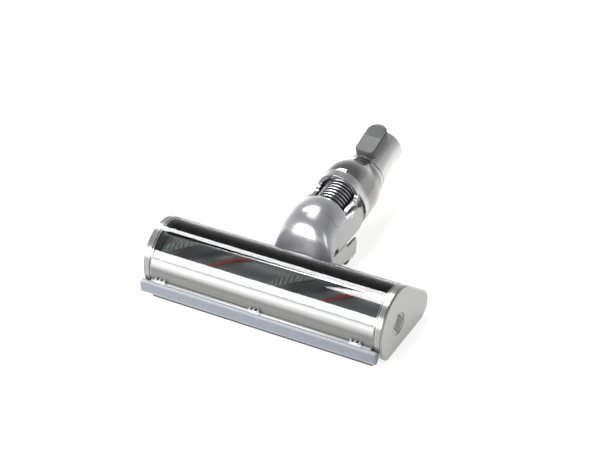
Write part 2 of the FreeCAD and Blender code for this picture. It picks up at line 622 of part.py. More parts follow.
for side, sign in (("left", "-"), ("right", "")):
    middle = sign + ROLLER_SIDE
    block = rectangle(sole, side + "_block_outline", "XY",
                      ("%s - Dims.roller_wide / 2 - Dims.rail_wall" % middle, "-Dims.rail_front"),
                      ("%s + Dims.roller_wide / 2 + Dims.rail_wall" % middle,
                       "-Dims.roller_front + 2 * Dims.roller_axle"), "Dims.floor_gap")
    pad(sole, side + "_block", block, "Dims.roller_radius + 2 * Dims.roller_axle")
    notch = rectangle(sole, side + "_notch_outline", "XY",
                      ("%s - Dims.roller_wide / 2 - Dims.run_gap" % middle,
                       "-Dims.roller_front - %s" % ROLLER_ROOM),
                      ("%s + Dims.roller_wide / 2 + Dims.run_gap" % middle,
                       "-Dims.roller_front + %s" % ROLLER_ROOM), "-Dims.floor_gap")
    pocket(sole, side + "_notch", notch, "Dims.floor_gap + Dims.roller_radius + %s" % ROLLER_ROOM)
    axle_bore = circles(sole, side + "_axle_outline", "YZ", ["Dims.roller_axle"],
                        ("-Dims.roller_front", "Dims.roller_radius"),
                        "%s - Dims.roller_wide / 2 - 2 * Dims.rail_wall" % middle)
    pocket(sole, side + "_axle_bore", axle_bore, "Dims.roller_wide + 4 * Dims.rail_wall")
for number, spot in enumerate(SCREWS):
    seat = circles(sole, "screw_seat_outline_%d" % number, "XY", ["Dims.screw_head"], spot)
    pocket(sole, "screw_seat_%d" % number, seat, "Dims.floor_gap + Dims.screw_high")
    hole = circles(sole, "screw_hole_outline_%d" % number, "XY", ["Dims.screw_radius"], spot)
    pocket(sole, "screw_hole_%d" % number, hole, "2 * Dims.axis_height")


# Screws that hold the sole plate: head with a cross recess, and shank
def screws():
    group = []
    low = value("Dims.floor_gap") + value("Dims.fit_gap")
    head = value("Dims.screw_head") - value("Dims.fit_gap") / 2
    high = value("Dims.floor_gap + Dims.screw_high") - low
    core = value("Dims.screw_radius")
    for side, back in SCREWS:
        spot = Vector(value(side), value(back), low)
        screw = Part.makeCylinder(head, high, spot).fuse(
            Part.makeCylinder(core, value("Dims.screw_long"), spot))
        for long, wide in ((head, core / 2), (core / 2, head)):
            screw = screw.cut(Part.makeBox(long, wide, high / 2, spot - Vector(long / 2, wide / 2, 0)))
        group.append(screw)
    return Part.makeCompound(group)


part_shape("sole_screws", "head", screws())

# Front rollers and their axles
for side, sign in (("left", "-"), ("right", "")):
    middle = sign + ROLLER_SIDE
    revolve("front_roller_" + side, "head",
            tube_profile("-Dims.roller_wide / 2", "Dims.roller_wide / 2", "Dims.roller_radius",
                         "Dims.roller_axle + Dims.fit_gap / 2"),
            middle, "-Dims.roller_front", "Dims.roller_radius")
    revolve("front_axle_" + side, "head",
            tube_profile("-Dims.roller_wide / 2 - Dims.rail_wall", "Dims.roller_wide / 2 + Dims.rail_wall",
                         "Dims.roller_axle"),
            middle, "-Dims.roller_front", "Dims.roller_radius")

# Bumper strip along the rail, past the left cap
bumper = new_body("bumper_strip", "head", "-Dims.head_width / 2 + Dims.run_gap")
section = rectangle(bumper, "bumper_outline", "YZ", ("-Dims.bumper_reach", "Dims.bumper_low"),
                    ("-Dims.rail_front - Dims.seam_gap / 10", "Dims.rail_top"))
pad(bumper, "bumper_bar", section, "Dims.head_width - Dims.bumper_short")
dress(bumper, "PartDesign::Fillet", "bumper_rounding", "y", -value("Dims.bumper_reach"), "Radius",
      "Dims.bumper_round")

# Black lip seal between the bumper and the cover
seal = new_body("lip_seal", "head", "-" + HALF_INNER)
seal_sketch = rectangle(seal, "seal_outline", "YZ", ("-Dims.rail_front - Dims.seal_depth", "Dims.rail_top"),
                        ("-Dims.rail_front + Dims.run_gap", "Dims.rail_top + Dims.seal_high"))
pad(seal, "seal_bar", seal_sketch, INNER)

# Brush roll
ROLL_END = "(%s - Dims.roll_gap)" % HALF_INNER
revolve("brush_tube", "brush", tube_profile("-" + ROLL_END, ROLL_END, "Dims.tube_radius_roll",
                                            "Dims.tube_bore_roll"))
PLUG_RADIUS = "Dims.tube_bore_roll"
CAP_HUB = "(Dims.head_width / 2 - Dims.cap_face)"
revolve("brush_plug", "brush", [
    ("-" + ROLL_END, "0"), ("-%s + Dims.plug_long" % ROLL_END, "0"),
    ("-%s + Dims.plug_long" % ROLL_END, PLUG_RADIUS), ("-" + ROLL_END, PLUG_RADIUS)])
revolve("stub_axle", "brush", tube_profile("-%s + Dims.run_gap" % CAP_HUB, "-" + ROLL_END, "Dims.stub_radius"))
revolve("stub_bearing", "brush", tube_profile(
    "-%s + Dims.run_gap" % CAP_HUB, "-%s + Dims.run_gap + Dims.stub_wide" % CAP_HUB,
    "Dims.stub_bearing", "Dims.stub_radius + Dims.fit_gap / 2"))
DOG_START = "(%s - Dims.mount_long - Dims.motor_long - Dims.gearbox_long - Dims.shaft_long)" % CAP_HUB
revolve("drive_dog", "brush", tube_profile(DOG_START, DOG_START + " + Dims.dog_long", PLUG_RADIUS,
                                           "Dims.shaft_radius"))
revolve("drive_shaft", "brush", tube_profile(DOG_START, DOG_START + " + Dims.shaft_long - Dims.run_gap",
                                             "Dims.shaft_radius"))
revolve("gearbox", "brush", tube_profile(DOG_START + " + Dims.shaft_long",
                                         DOG_START + " + Dims.shaft_long + Dims.gearbox_long",
                                         "Dims.gearbox_radius"))
MOTOR_START = DOG_START + " + Dims.shaft_long + Dims.gearbox_long"
revolve("brush_motor", "brush", tube_profile(MOTOR_START, MOTOR_START + " + Dims.motor_long",
                                             "Dims.motor_radius"))
revolve("motor_mount", "brush", [
    (CAP_HUB + " - Dims.mount_long", "Dims.mount_bore"), (CAP_HUB, "Dims.mount_bore"),
    (CAP_HUB, "Dims.mount_flange"), (CAP_HUB + " - Dims.flange_thick", "Dims.mount_flange"),
    (CAP_HUB + " - Dims.flange_thick", "Dims.mount_radius"),
    (CAP_HUB + " - Dims.mount_long", "Dims.mount_radius")])
revolve("roll_bearing", "brush", tube_profile(
    ROLL_END + " - Dims.bearing_wide", ROLL_END, PLUG_RADIUS, "Dims.mount_radius + Dims.fit_gap / 2"))


def bristle_strips(width, count, first_turn, reach):
    """Helical strips round the roll: ruled between cross-sections turned about X."""
    half = value(ROLL_END) - value("Dims.roll_gap")
    base = value("Dims.tube_radius_roll")
    turns = value("Dims.strip_turns")
    steps = 16
    strips = []
    for number in range(count):
        rings = []
        for step in range(steps + 1):
            x = -half + 2 * half * step / steps
            angle = math.radians(value("Dims.strip_start")) + 2 * math.pi * (
                first_turn + number / count - turns * step / steps)
            out = Vector(0, math.cos(angle), math.sin(angle))
            along = Vector(0, -math.sin(angle), math.cos(angle))
            foot = math.sqrt(base ** 2 - (width / 2) ** 2) - value("Dims.strip_base")
            tip = width / 2 * 0.8
            corners = [out * foot - along * (width / 2), out * foot + along * (width / 2),
                       out * reach + along * tip, out * reach - along * tip]
            corners = [corner + Vector(x, 0, 0) for corner in corners]
            rings.append(Part.makePolygon(corners + corners[:1]))
        strip = Part.makeLoft(rings, True, True)
        tube = Part.makeCylinder(base, 4 * half, Vector(-2 * half, 0, 0), AXES["X"])
        strips.append(strip.cut(tube))
    return Part.makeCompound(strips)


REACH = value("Dims.bristle_reach")
part_shape("red_bristles", "brush", bristle_strips(value("Dims.strip_red"), 2, 0.0, REACH))
part_shape("black_bristles", "brush", bristle_strips(value("Dims.strip_black"), 2, 0.11, REACH - 0.4))
part_shape("nylon_tufts", "brush", bristle_strips(value("Dims.strip_tuft"), 2, 0.27, REACH - 0.2))


# Elbow: a hollow swelling from the flared foot on the housing to a level round collar
def elbow_ring(top, bottom, half):
    """Ellipse through two points of the middle plane, as wide as 2 half."""
    centre = (top + bottom) * 0.5
    up = (top - bottom) * 0.5
    normal = up.cross(AXES["X"])
    matrix = FreeCAD.Matrix(half, 0, 0, centre.x, 0, normal.y / normal.Length, up.y, centre.y,
                            0, normal.z / normal.Length, up.z, centre.z, 0, 0, 0, 1)
    circle = Part.Wire(Part.makeCircle(1, Vector(), AXES["Y"]))
    return circle.transformGeometry(matrix)


HOSE_START = value("Dims.collar_back - Dims.pivot_back - 2 * Dims.cuff_thick")

# Rings from the foot to the crown: how far along and up each upper and lower point is, and the flare
ELBOW_RINGS = ((-0.13, -0.27, -0.30, -0.22, 1.3),
               (0.0, 0.0, 0.0, 0.0, 1.0),
               (0.21, 0.48, 0.30, 0.29, 0.5),
               (0.55, 0.83, 0.60, 0.74, 0.1),
               (1.0, 1.0, 1.0, 1.0, 0.0))


def elbow_solid(wall):
    """Outside of the elbow for wall 0, or its inside."""
    back = value("Dims.elbow_back")
    radius = value("Dims.elbow_radius")
    crown = Vector(0, back, value("Dims.elbow_up + Dims.elbow_radius"))
    sag = Vector(0, back, value("Dims.elbow_up - Dims.elbow_radius"))
    foot_top = Vector(0, value("Dims.foot_back"), value("Dims.foot_high"))
    foot_low = Vector(0, value("Dims.foot_low_back"), value("Dims.foot_low"))
    flare = value("Dims.foot_half - Dims.elbow_radius")
    end = Vector(0, value("Dims.collar_back - Dims.elbow_back"), 0)
    rings = []
    for top_along, top_up, low_along, low_up, wide in ELBOW_RINGS:
        top = Vector(0, foot_top.y + (crown.y - foot_top.y) * top_along,
                     foot_top.z + (crown.z - foot_top.z) * top_up)
        low = Vector(0, foot_low.y + (sag.y - foot_low.y) * low_along,
                     foot_low.z + (sag.z - foot_low.z) * low_up)
        rings.append((top, low, radius + flare * wide))
    rings.append((crown + end, sag + end, radius))
    wires = []
    for top, low, half in rings:
        if wall:
            inward = (low - top).normalize() * wall
            half = value("Dims.elbow_inner") + (half - radius)
            top = top + inward
            low = low - inward
        wires.append(elbow_ring(top, low, half))
    return Part.makeLoft(wires, True, False)


def cheek_plate(start, thick):
    """Side cheek in the YZ plane: straight edges running into a round end."""
    centre = Vector(0, value("Dims.cheek_end_back"), value("Dims.cheek_end_up"))
    radius = value("Dims.cheek_round")
    root = Vector(0, value("Dims.cheek_root"), value("Dims.cheek_top"))
    away = root - centre
    angle = math.atan2(away.z, away.y) - math.acos(radius / away.Length)
    touch = centre + Vector(0, math.cos(angle), math.sin(angle)) * radius
    bottom = centre + Vector(0, 0, -radius)
    tip = centre + Vector(0, radius, 0)
    low_root = Vector(0, root.y, bottom.z)
    wire = Part.Wire([Part.makeLine(root, low_root), Part.makeLine(low_root, bottom),
                      Part.Arc(bottom, tip, touch).toShape(), Part.makeLine(touch, root)])
    plate = Part.Face(wire).extrude(Vector(thick, 0, 0))
    plate.translate(Vector(start, 0, 0))
    return plate


def width_limit():
    """Plan view of the elbow: flat cheeks that flare out at the foot."""
    half = value("Dims.cheek_half")
    foot = value("Dims.foot_half")
    back = value("Dims.elbow_back")
    front = value("Dims.foot_back")
    far = value("Dims.cheek_end_back + 2 * Dims.cheek_round")
    high = value("4 * Dims.elbow_radius")
    right = [Vector(foot, front, 0), Vector((foot + 2 * half) / 3, (front + back) / 2, 0), Vector(half, back, 0)]
    curve = Part.BSplineCurve()
    curve.interpolate(right, False, InitialTangent=Vector(-0.2, 1, 0), FinalTangent=Vector(0, 1, 0))
    mirror = [Vector(-p.x, p.y, 0) for p in reversed(right)]
    other = Part.BSplineCurve()
    other.interpolate(mirror, False, InitialTangent=Vector(0, -1, 0), FinalTangent=Vector(-0.2, -1, 0))
    wire = Part.Wire([curve.toShape(), Part.makeLine(right[-1], Vector(half, far, 0)),
                      Part.makeLine(Vector(half, far, 0), Vector(-half, far, 0)),
                      Part.makeLine(Vector(-half, far, 0), mirror[0]), other.toShape(),
                      Part.makeLine(mirror[-1], right[0])])
    return Part.Face(wire).extrude(Vector(0, 0, high))


def hose_room(gap, lead):
    """Cylinder round the hose's front end, gap wider than it, that starts lead in front of it."""
    tilt = math.radians(value("Dims.neck_tilt"))
    along = Vector(0, math.cos(tilt), math.sin(tilt))
    pivot = Vector(0, value("Dims.pivot_back"), value("Dims.pivot_up"))
    return Part.makeCylinder(value("Dims.hose_radius") + gap, value("Dims.neck_length"),
                             pivot + along * (HOSE_START - lead), along)


def elbow_pieces():
    inside = elbow_solid(value("Dims.elbow_wall"))
    shell = elbow_solid(0).common(width_limit())
    cheek = value("Dims.cheek_half - Dims.cheek_wall")
    for start in (cheek, -value("Dims.cheek_half")):
        shell = shell.fuse(cheek_plate(start, value("Dims.cheek_wall")))
    shell = shell.cut(inside)
    trim = teardrop_solid(value("Dims.housing_inset"), -value("Dims.head_width"), value("2 * Dims.head_width"))
    shell = shell.cut(trim)
    pin = Part.makeCylinder(value("Dims.pin_radius"), value("Dims.head_width"),
                            Vector(-value("Dims.head_width / 2"), value("Dims.pivot_back"),
                                   value("Dims.pivot_up")), AXES["X"])
    shell = shell.cut(pin)
    big = value("Dims.head_width")
    split = value("Dims.cheek_top")
    gap = value("Dims.seam_gap")
    seam = value("Dims.seam_back")
    lower = Part.makeBox(big, big, split, Vector(-big / 2, -big / 4, 0))
    upper_front = Part.makeBox(big, seam + big / 4, big, Vector(-big / 2, -big / 4, split + gap / 3))
    upper_back = Part.makeBox(big, big, big, Vector(-big / 2, seam + gap, split + gap / 3))
    return shell.common(lower), shell.common(upper_front), shell.common(upper_back)


yoke_shape, cover_shape, collar_shape = elbow_pieces()
part_shape("yoke", "head", yoke_shape)
part_shape("elbow_cover", "head", cover_shape)
part_shape("collar_cover", "head", collar_shape)

# Wheel carriage under the yoke: two side plates and the bridge that joins them
def wheel_carriage():
    half = value("Dims.cheek_half")
    wall = value("Dims.carriage_wall")
    top = value("Dims.carriage_top")
    low = value("Dims.carriage_low")
    end = value("Dims.carriage_end")
    step = value("Dims.carriage_step")
    axle = value("Dims.wheel_axle")
    wheel = value("Dims.wheel_back")
    start = value("Dims.tail_back")
    front = wheel - value("Dims.wheel_radius")
    side = [(start, value("Dims.tail_radius") / 2), (start + value("Dims.tail_radius"), value("Dims.tail_radius")),
            (front, low + axle), (wheel + axle, low - axle / 2), (end - axle, low + axle / 2),
            (end, low + 2 * step), (end - axle / 2, top - step), (front, top - step), (front, top), (start, top)]
    corners = [Vector(0, y, z) for y, z in side]
    plate = Part.Face(Part.makePolygon(corners + corners[:1])).extrude(Vector(wall, 0, 0))
    other = plate.copy()
    plate.translate(Vector(-half, 0, 0))
    other.translate(Vector(half - wall, 0, 0))
    bridge_top = value("Dims.elbow_up - Dims.elbow_radius - Dims.run_gap")
    thick = value("Dims.bridge_thick")
    bridge = Part.makeBox(2 * half - wall, front - start - wall, thick,
                          Vector(-half + wall / 2, start, bridge_top - thick))
    shape = plate.fuse(other).fuse(bridge)
    shape = shape.cut(teardrop_solid(value("Dims.housing_inset"), -2 * half, 4 * half))
    shape = shape.cut(Part.makeCylinder(axle, 4 * half, Vector(-2 * half, wheel, value("Dims.wheel_radius")),
                                        AXES["X"]))
    return shape.cut(elbow_solid(0).common(width_limit()))


part_shape("wheel_carriage", "head", wheel_carriage())

# Rear axle through both side plates, and the wheels
revolve("rear_axle", "head", tube_profile("-Dims.cheek_half + Dims.fit_gap", "Dims.cheek_half - Dims.fit_gap",
                                          "Dims.wheel_axle"), "0", "Dims.wheel_back", "Dims.wheel_radius")
for side, sign in (("left", "-"), ("right", "")):
    revolve("rear_wheel_" + side, "head",
            tube_profile("-Dims.wheel_wide / 2", "Dims.wheel_wide / 2", "Dims.wheel_radius",
                         "Dims.wheel_axle + Dims.fit_gap / 2"),
            "%sDims.wheel_side" % sign, "Dims.wheel_back", "Dims.wheel_radius")


# Neck: egg-shaped sections with a small round above and a large round below
def egg_wire(back, high_radius, high_up, low_radius, low_up):
    """Outline round two circles of the XZ plane: two arcs and their tangents."""
    gap = high_up - low_up
    lean = math.asin((low_radius - high_radius) / gap)
    side = Vector(math.cos(lean), 0, math.sin(lean))
    mirror = Vector(-side.x, 0, side.z)
    high = Vector(0, back, high_up)
    low = Vector(0, back, low_up)
    return Part.Wire([
        Part.Arc(high + side * high_radius, high + AXES["Z"] * high_radius, high + mirror * high_radius).toShape(),
        Part.makeLine(high + mirror * high_radius, low + mirror * low_radius),
        Part.Arc(low + mirror * low_radius, low - AXES["Z"] * low_radius, low + side * low_radius).toShape(),
        Part.makeLine(low + side * low_radius, high + side * high_radius)])


def neck_loft(stations, wall=0.0):
    wires = [egg_wire(y, hr - wall, hz, lr - wall, lz) for y, hr, hz, lr, lz in stations]
    return Part.makeLoft(wires, True, False)


def section(back, top, low, high_radius, low_radius):
    """Station of the neck: its place, and radius and centre height of each round."""
    return (back, high_radius, top - high_radius, low_radius, low + low_radius)


def hood_station(back):
    return section(back, value("Dims.hood_top"), -value("Dims.belly_low"),
                   value("Dims.hood_radius"), value("Dims.belly_radius"))


def dome_stations():
    """Sections from the fork's ring to the swivel, where the dome has sunk onto the tube."""
    start = value("Dims.ring_back + Dims.trim_thick")
    long = value(SWIVEL) - start
    high = value("Dims.hood_radius")
    low = value("Dims.belly_radius")
    tube = value("Dims.tube_radius")
    keel = value("Dims.keel_radius")
    top = value("Dims.hood_top")
    top_end = tube - value("Dims.axis_drop") + 0.2
    sink = top - top_end
    belly = -value("Dims.belly_low")
    belly_end = -value("Dims.keel_low")
    return [hood_station(start),
            section(start + long * 0.23, top, belly - 0.5, high + 0.4, low + 0.4),
            section(start + long * 0.50, top - sink * 0.24, belly + 0.3, high, low - 0.6),
            section(start + long * 0.75, top - sink * 0.62, belly + 1.8, high - 1.5, low - 2.8),
            section(start + long, top_end, belly_end, tube + 0.2, keel)]


def tangent_point(target, radius, side):
    """Point of a circle round the pivot, in the YZ plane, where a line to target touches it."""
    lean = math.atan2(target.z, target.y) + side * math.acos(radius / target.Length)
    return Vector(0, math.cos(lean), math.sin(lean)) * radius


def fork_side(reach):
    """Side view of the fork: the eye, the rail, the arch's front edge and the belly's front edge."""
    eye = value("Dims.eye_radius")
    back = value("Dims.ring_back")
    above = value("Dims.hood_top") + reach
    under = -value("Dims.belly_low") - reach
    arch = value("Dims.window_back")
    rail = value("Dims.rail_up")
    curve = value("Dims.rail_curve")
    chin = Vector(0, value("Dims.chin_back"), under)
    rail_end = Vector(0, arch - curve, rail)
    high = tangent_point(rail_end, eye, 1)
    low = tangent_point(chin, eye, -1)
    bend = Vector(0, arch - curve * (1 - math.sin(math.pi / 4)), rail + curve * (1 - math.cos(math.pi / 4)))
    upright = Vector(0, arch, rail + curve)
    corners = [upright, Vector(0, arch, above), Vector(0, back, above), Vector(0, back, under), chin, low]
    edges = [Part.makeLine(high, rail_end), Part.Arc(rail_end, bend, upright).toShape()]
    edges += [Part.makeLine(corners[i], corners[i + 1]) for i in range(len(corners) - 1)]
    edges.append(Part.Arc(low, Vector(0, -eye, 0), high).toShape())
    face = Part.Face(Part.Wire(edges))
    width = value("Dims.head_width")
    solid = face.extrude(Vector(width, 0, 0))
    solid.translate(Vector(-width / 2, 0, 0))
    return solid


def fork_frame():
    """Silver fork: arch round the hose window, arms with eyes, half shell below."""
    back = value("Dims.ring_back")
    wall = value("Dims.shell_wall")
    half = value("Dims.fork_half")
    eye = value("Dims.eye_radius")
    big = value("Dims.head_width")
    front = -2 * eye
    cheek_reach = value("Dims.cheek_end_back + Dims.cheek_round + 3 * Dims.run_gap - Dims.pivot_back")
    station = hood_station(0)
    outer = Part.Face(egg_wire(front, *station[1:])).extrude(Vector(0, back - front, 0))
    rim = value("Dims.arch_wall")
    inner = Part.Face(egg_wire(front - 1, station[1] - rim, station[2], station[3] - wall, station[4]))
    inner = inner.extrude(Vector(0, back - front + 1 - wall, 0))
    outside = Part.makeBox(big, cheek_reach - front + 1, 3 * big, Vector(half, front - 1, -big))
    other_side = Part.makeBox(big, cheek_reach - front + 1, 3 * big, Vector(-half - big, front - 1, -big))
    outer = outer.common(fork_side(1.0)).cut(outside).cut(other_side)
    arm_inside = value("Dims.fork_half - Dims.fork_wall")
    core = Part.makeBox(2 * arm_inside, back - front + 1, 3 * big, Vector(-arm_inside, front - 1, -big))
    arm_room = Part.makeBox(big, cheek_reach + wall - front, 3.6 * eye, Vector(-big / 2, front, -1.3 * eye))
    arms = outer.common(arm_room).cut(core)
    shell = outer.cut(inner).fuse(arms)
    pins = Part.makeCylinder(value("Dims.pin_radius + Dims.fit_gap / 2"), big, Vector(-big / 2, 0, 0), AXES["X"])
    hose = Part.makeCylinder(value("Dims.hose_radius + Dims.fit_gap"), big, Vector(0, 0, 0), AXES["Y"])
    return shell.cut(pins).cut(hose)


part_shape("fork_frame", "neck", fork_frame())


def dome_shell():
    """Hollow dome with a wall at the swivel end that carries the spigot."""
    outside = neck_loft(dome_stations())
    inside = neck_loft(dome_stations(), value("Dims.shell_wall"))
    big = value("Dims.head_width")
    wall_start = value(SWIVEL + " - Dims.bulkhead")
    inside = inside.cut(Part.makeBox(big, big, big, Vector(-big / 2, wall_start, -big / 2)))
    hole = Part.makeCylinder(value("Dims.spigot_radius + Dims.fit_gap / 2"), big,
                             Vector(0, wall_start - 1, -value("Dims.axis_drop")), AXES["Y"])
    return outside.cut(inside).cut(hole)


part_shape("dome_shell", "neck", dome_shell())

# Trim ring between the fork and the dome
ring_station = hood_station(value("Dims.ring_back"))
ring_outside = Part.Face(egg_wire(ring_station[0], ring_station[1] + value("Dims.trim_proud"), ring_station[2],
                                  ring_station[3] + value("Dims.trim_proud"), ring_station[4]))
ring_inside = Part.Face(egg_wire(ring_station[0], ring_station[1] - value("Dims.shell_wall"), ring_station[2],
                                 ring_station[3] - value("Dims.shell_wall"), ring_station[4]))
part_shape("trim_ring", "neck", ring_outside.cut(ring_inside).extrude(Vector(0, value("Dims.trim_thick"), 0)))


def button_point(along, up):
    """Point of the button's middle plane, along its sloping underside and up from it."""
    slope = math.radians(value("Dims.button_rise"))
    start = Vector(0, value(SWIVEL + " + Dims.button_inset"), value("Dims.tube_radius - Dims.axis_drop") - 2.0)
    return start + Vector(0, along * math.cos(slope) - up * math.sin(slope),
                          along * math.sin(slope) + up * math.cos(slope))


def wand_tube():
    """Socket tube with the keel that carries the dome's section on."""
    drop = value("Dims.axis_drop")
    start = value(SWIVEL + " + Dims.seam_gap")
    end = value("Dims.neck_length")
    radius = value("Dims.tube_radius")
    length = value("Dims.fairing_long")
    last = dome_stations()[-1]
    keel = value("Dims.keel_radius")
    stations = [(start,) + last[1:],
                section(start + length / 2, radius - drop + 0.1, -(value("Dims.keel_low") + drop + radius) / 2,
                        radius, (keel + radius) / 2),
                section(start + length, radius - drop + 0.05, -drop - radius - 0.1, radius, radius + 0.05)]
    tube = Part.makeCylinder(radius, end - start, Vector(0, start, -drop), AXES["Y"])
    tube = tube.fuse(neck_loft(stations))
    socket_start = end - value("Dims.socket_deep")
    bore = Part.makeCylinder(value("Dims.socket_radius"), value("Dims.socket_deep") + 1,
                             Vector(0, socket_start, -drop), AXES["Y"])
    air = Part.makeCylinder(value("Dims.airway_radius"), end, Vector(0, 0, -drop), AXES["Y"])
    spigot = Part.makeCylinder(value("Dims.spigot_radius"), value("Dims.spigot_long"),
                               Vector(0, start - value("Dims.spigot_long"), -drop), AXES["Y"])
    hinge = button_point(value("Dims.button_hinge"), value("Dims.button_thick") * 0.35)
    half = value("Dims.button_half") * 0.5
    lugs = []
    for side in (-1, 1):
        middle = side * half - value("Dims.lug_thick") / 2
        lug = Part.makeBox(value("Dims.lug_thick"), 2 * value("Dims.button_pin_radius") + 2,
                           hinge.z + value("Dims.button_pin_radius") + 1.0 - (radius - drop - 1.5),
                           Vector(middle, hinge.y - value("Dims.button_pin_radius") - 1, radius - drop - 1.5))
        lugs.append(lug)
    tube = tube.fuse(spigot).fuse(lugs)
    pin = Part.makeCylinder(value("Dims.button_pin_radius"), 4 * half, hinge - Vector(2 * half, 0, 0), AXES["X"])
    return tube.cut(bore).cut(air).cut(pin)


part_shape("wand_tube", "neck", wand_tube())

# Clip on the swivel spigot, behind the dome's wall
clip = Part.makeCylinder(value("Dims.clip_radius"), value("Dims.clip_thick"),
                         Vector(0, value(SWIVEL + " - Dims.bulkhead - Dims.run_gap - Dims.clip_thick"),
                                -value("Dims.axis_drop")), AXES["Y"])
clip = clip.cut(Part.makeCylinder(value("Dims.spigot_radius"), value(SWIVEL),
                                  Vector(0, 0, -value("Dims.axis_drop")), AXES["Y"]))
part_shape("swivel_clip", "neck", clip)

# Contact block for the motor's supply, low in the passage behind the socket, and its two blades
block_end = value("Dims.neck_length - Dims.socket_deep")
block_low = -value("Dims.axis_drop + Dims.airway_radius") + 1.2
block_wide = value("Dims.contact_wide")
block_long = value("Dims.contact_long")
block_start = block_end - block_long - value("Dims.blade_proud + Dims.run_gap")
contact_block = Part.makeBox(block_wide, block_long, value("Dims.contact_high") + 2,
                             Vector(-block_wide / 2, block_start, block_low - 2))
contact_block = contact_block.common(Part.makeCylinder(value("Dims.airway_radius"), block_end,
                                                       Vector(0, 0, -value("Dims.axis_drop")), AXES["Y"]))
blade = value("Dims.blade_thick")
blade_start = block_start + block_long / 2
blades = [Part.makeBox(2 * blade, block_long / 2 + value("Dims.blade_proud"), blade,
                       Vector(side * block_wide / 4 - blade, blade_start,
                              block_low + value("Dims.contact_high") / 2 - blade))
          for side in (-1, 1)]
contact_block = contact_block.cut(Part.makeCompound(blades))
part_shape("contact_block", "neck", contact_block)
part_shape("contact_blades", "neck", Part.makeCompound(blades))

# Tilt pins in the cheeks
pin_start = value("Dims.fork_half - Dims.fork_wall")
pin_long = value("Dims.cheek_half - Dims.fit_gap") - pin_start
pins = [Part.makeCylinder(value("Dims.pin_radius"), pin_long, Vector(start, 0, 0), AXES["X"])
        for start in (pin_start, -pin_start - pin_long)]
part_shape("tilt_pins", "head", Part.makeCompound(pins), "0", "Dims.pivot_back", "Dims.pivot_up")


# Hose: a turned bellows between the elbow and the dome
def hose_shape():
    radius = value("Dims.hose_radius")
    deep = value("Dims.hose_deep")
    bore = value("Dims.hose_bore")
    waves = int(value("Dims.hose_waves"))
    start = HOSE_START
    end = value("Dims.ring_back")
    pitch = (end - start) / waves
    points = [Vector(bore, start, 0), Vector(radius, start, 0)]
    for wave in range(waves):
        y = start + pitch * wave
        points += [Vector(radius, y + pitch * 0.45, 0), Vector(radius - deep, y + pitch * 0.6, 0),
                   Vector(radius - deep, y + pitch * 0.85, 0), Vector(radius, y + pitch, 0)]
    points += [Vector(bore, end, 0), points[0]]
    return Part.Face(Part.makePolygon(points)).revolve(Vector(), AXES["Y"], 360)


part_shape("hose", "neck", hose_shape())

# Cuffs that hold the hose: one fills the elbow's mouth, one sits behind the fork's wall
cuff = value("Dims.cuff_thick")
cuff_end = value("Dims.collar_back - Dims.cuff_reach")
big = value("Dims.head_width")
mouth = elbow_solid(value("Dims.elbow_wall + Dims.fit_gap"))
plate = mouth.common(Part.makeBox(big, cuff, big, Vector(-big / 2, cuff_end - 2.2 * cuff, 0)))
sleeve = mouth.common(Part.makeBox(big, 1.3 * cuff, big, Vector(-big / 2, cuff_end - 1.3 * cuff, 0)))
mouth = plate.fuse(sleeve.common(hose_room(cuff, 4 * cuff)))
mouth = mouth.cut(hose_room(value("Dims.hose_bore - Dims.hose_radius"), 8 * cuff))
mouth = mouth.cut(hose_room(value("Dims.fit_gap"), value("Dims.fit_gap")))
part_shape("hose_cuff_front", "head", mouth)
rear_cuff = Part.makeCylinder(value("Dims.hose_radius") + cuff, cuff, Vector(0, value("Dims.ring_back"), 0),
                              AXES["Y"])
rear_cuff = rear_cuff.cut(Part.makeCylinder(value("Dims.hose_bore"), 3 * cuff,
                                            Vector(0, value("Dims.ring_back") - cuff, 0), AXES["Y"]))
rear_cuff = rear_cuff.common(Part.Face(egg_wire(0, *[size - inset for size, inset in zip(
    hood_station(0)[1:], (value("Dims.shell_wall") + value("Dims.fit_gap"), 0,
                          value("Dims.shell_wall") + value("Dims.fit_gap"), 0))])).extrude(
    Vector(0, value(SWIVEL), 0)))
part_shape("hose_cuff_rear", "neck", rear_cuff)


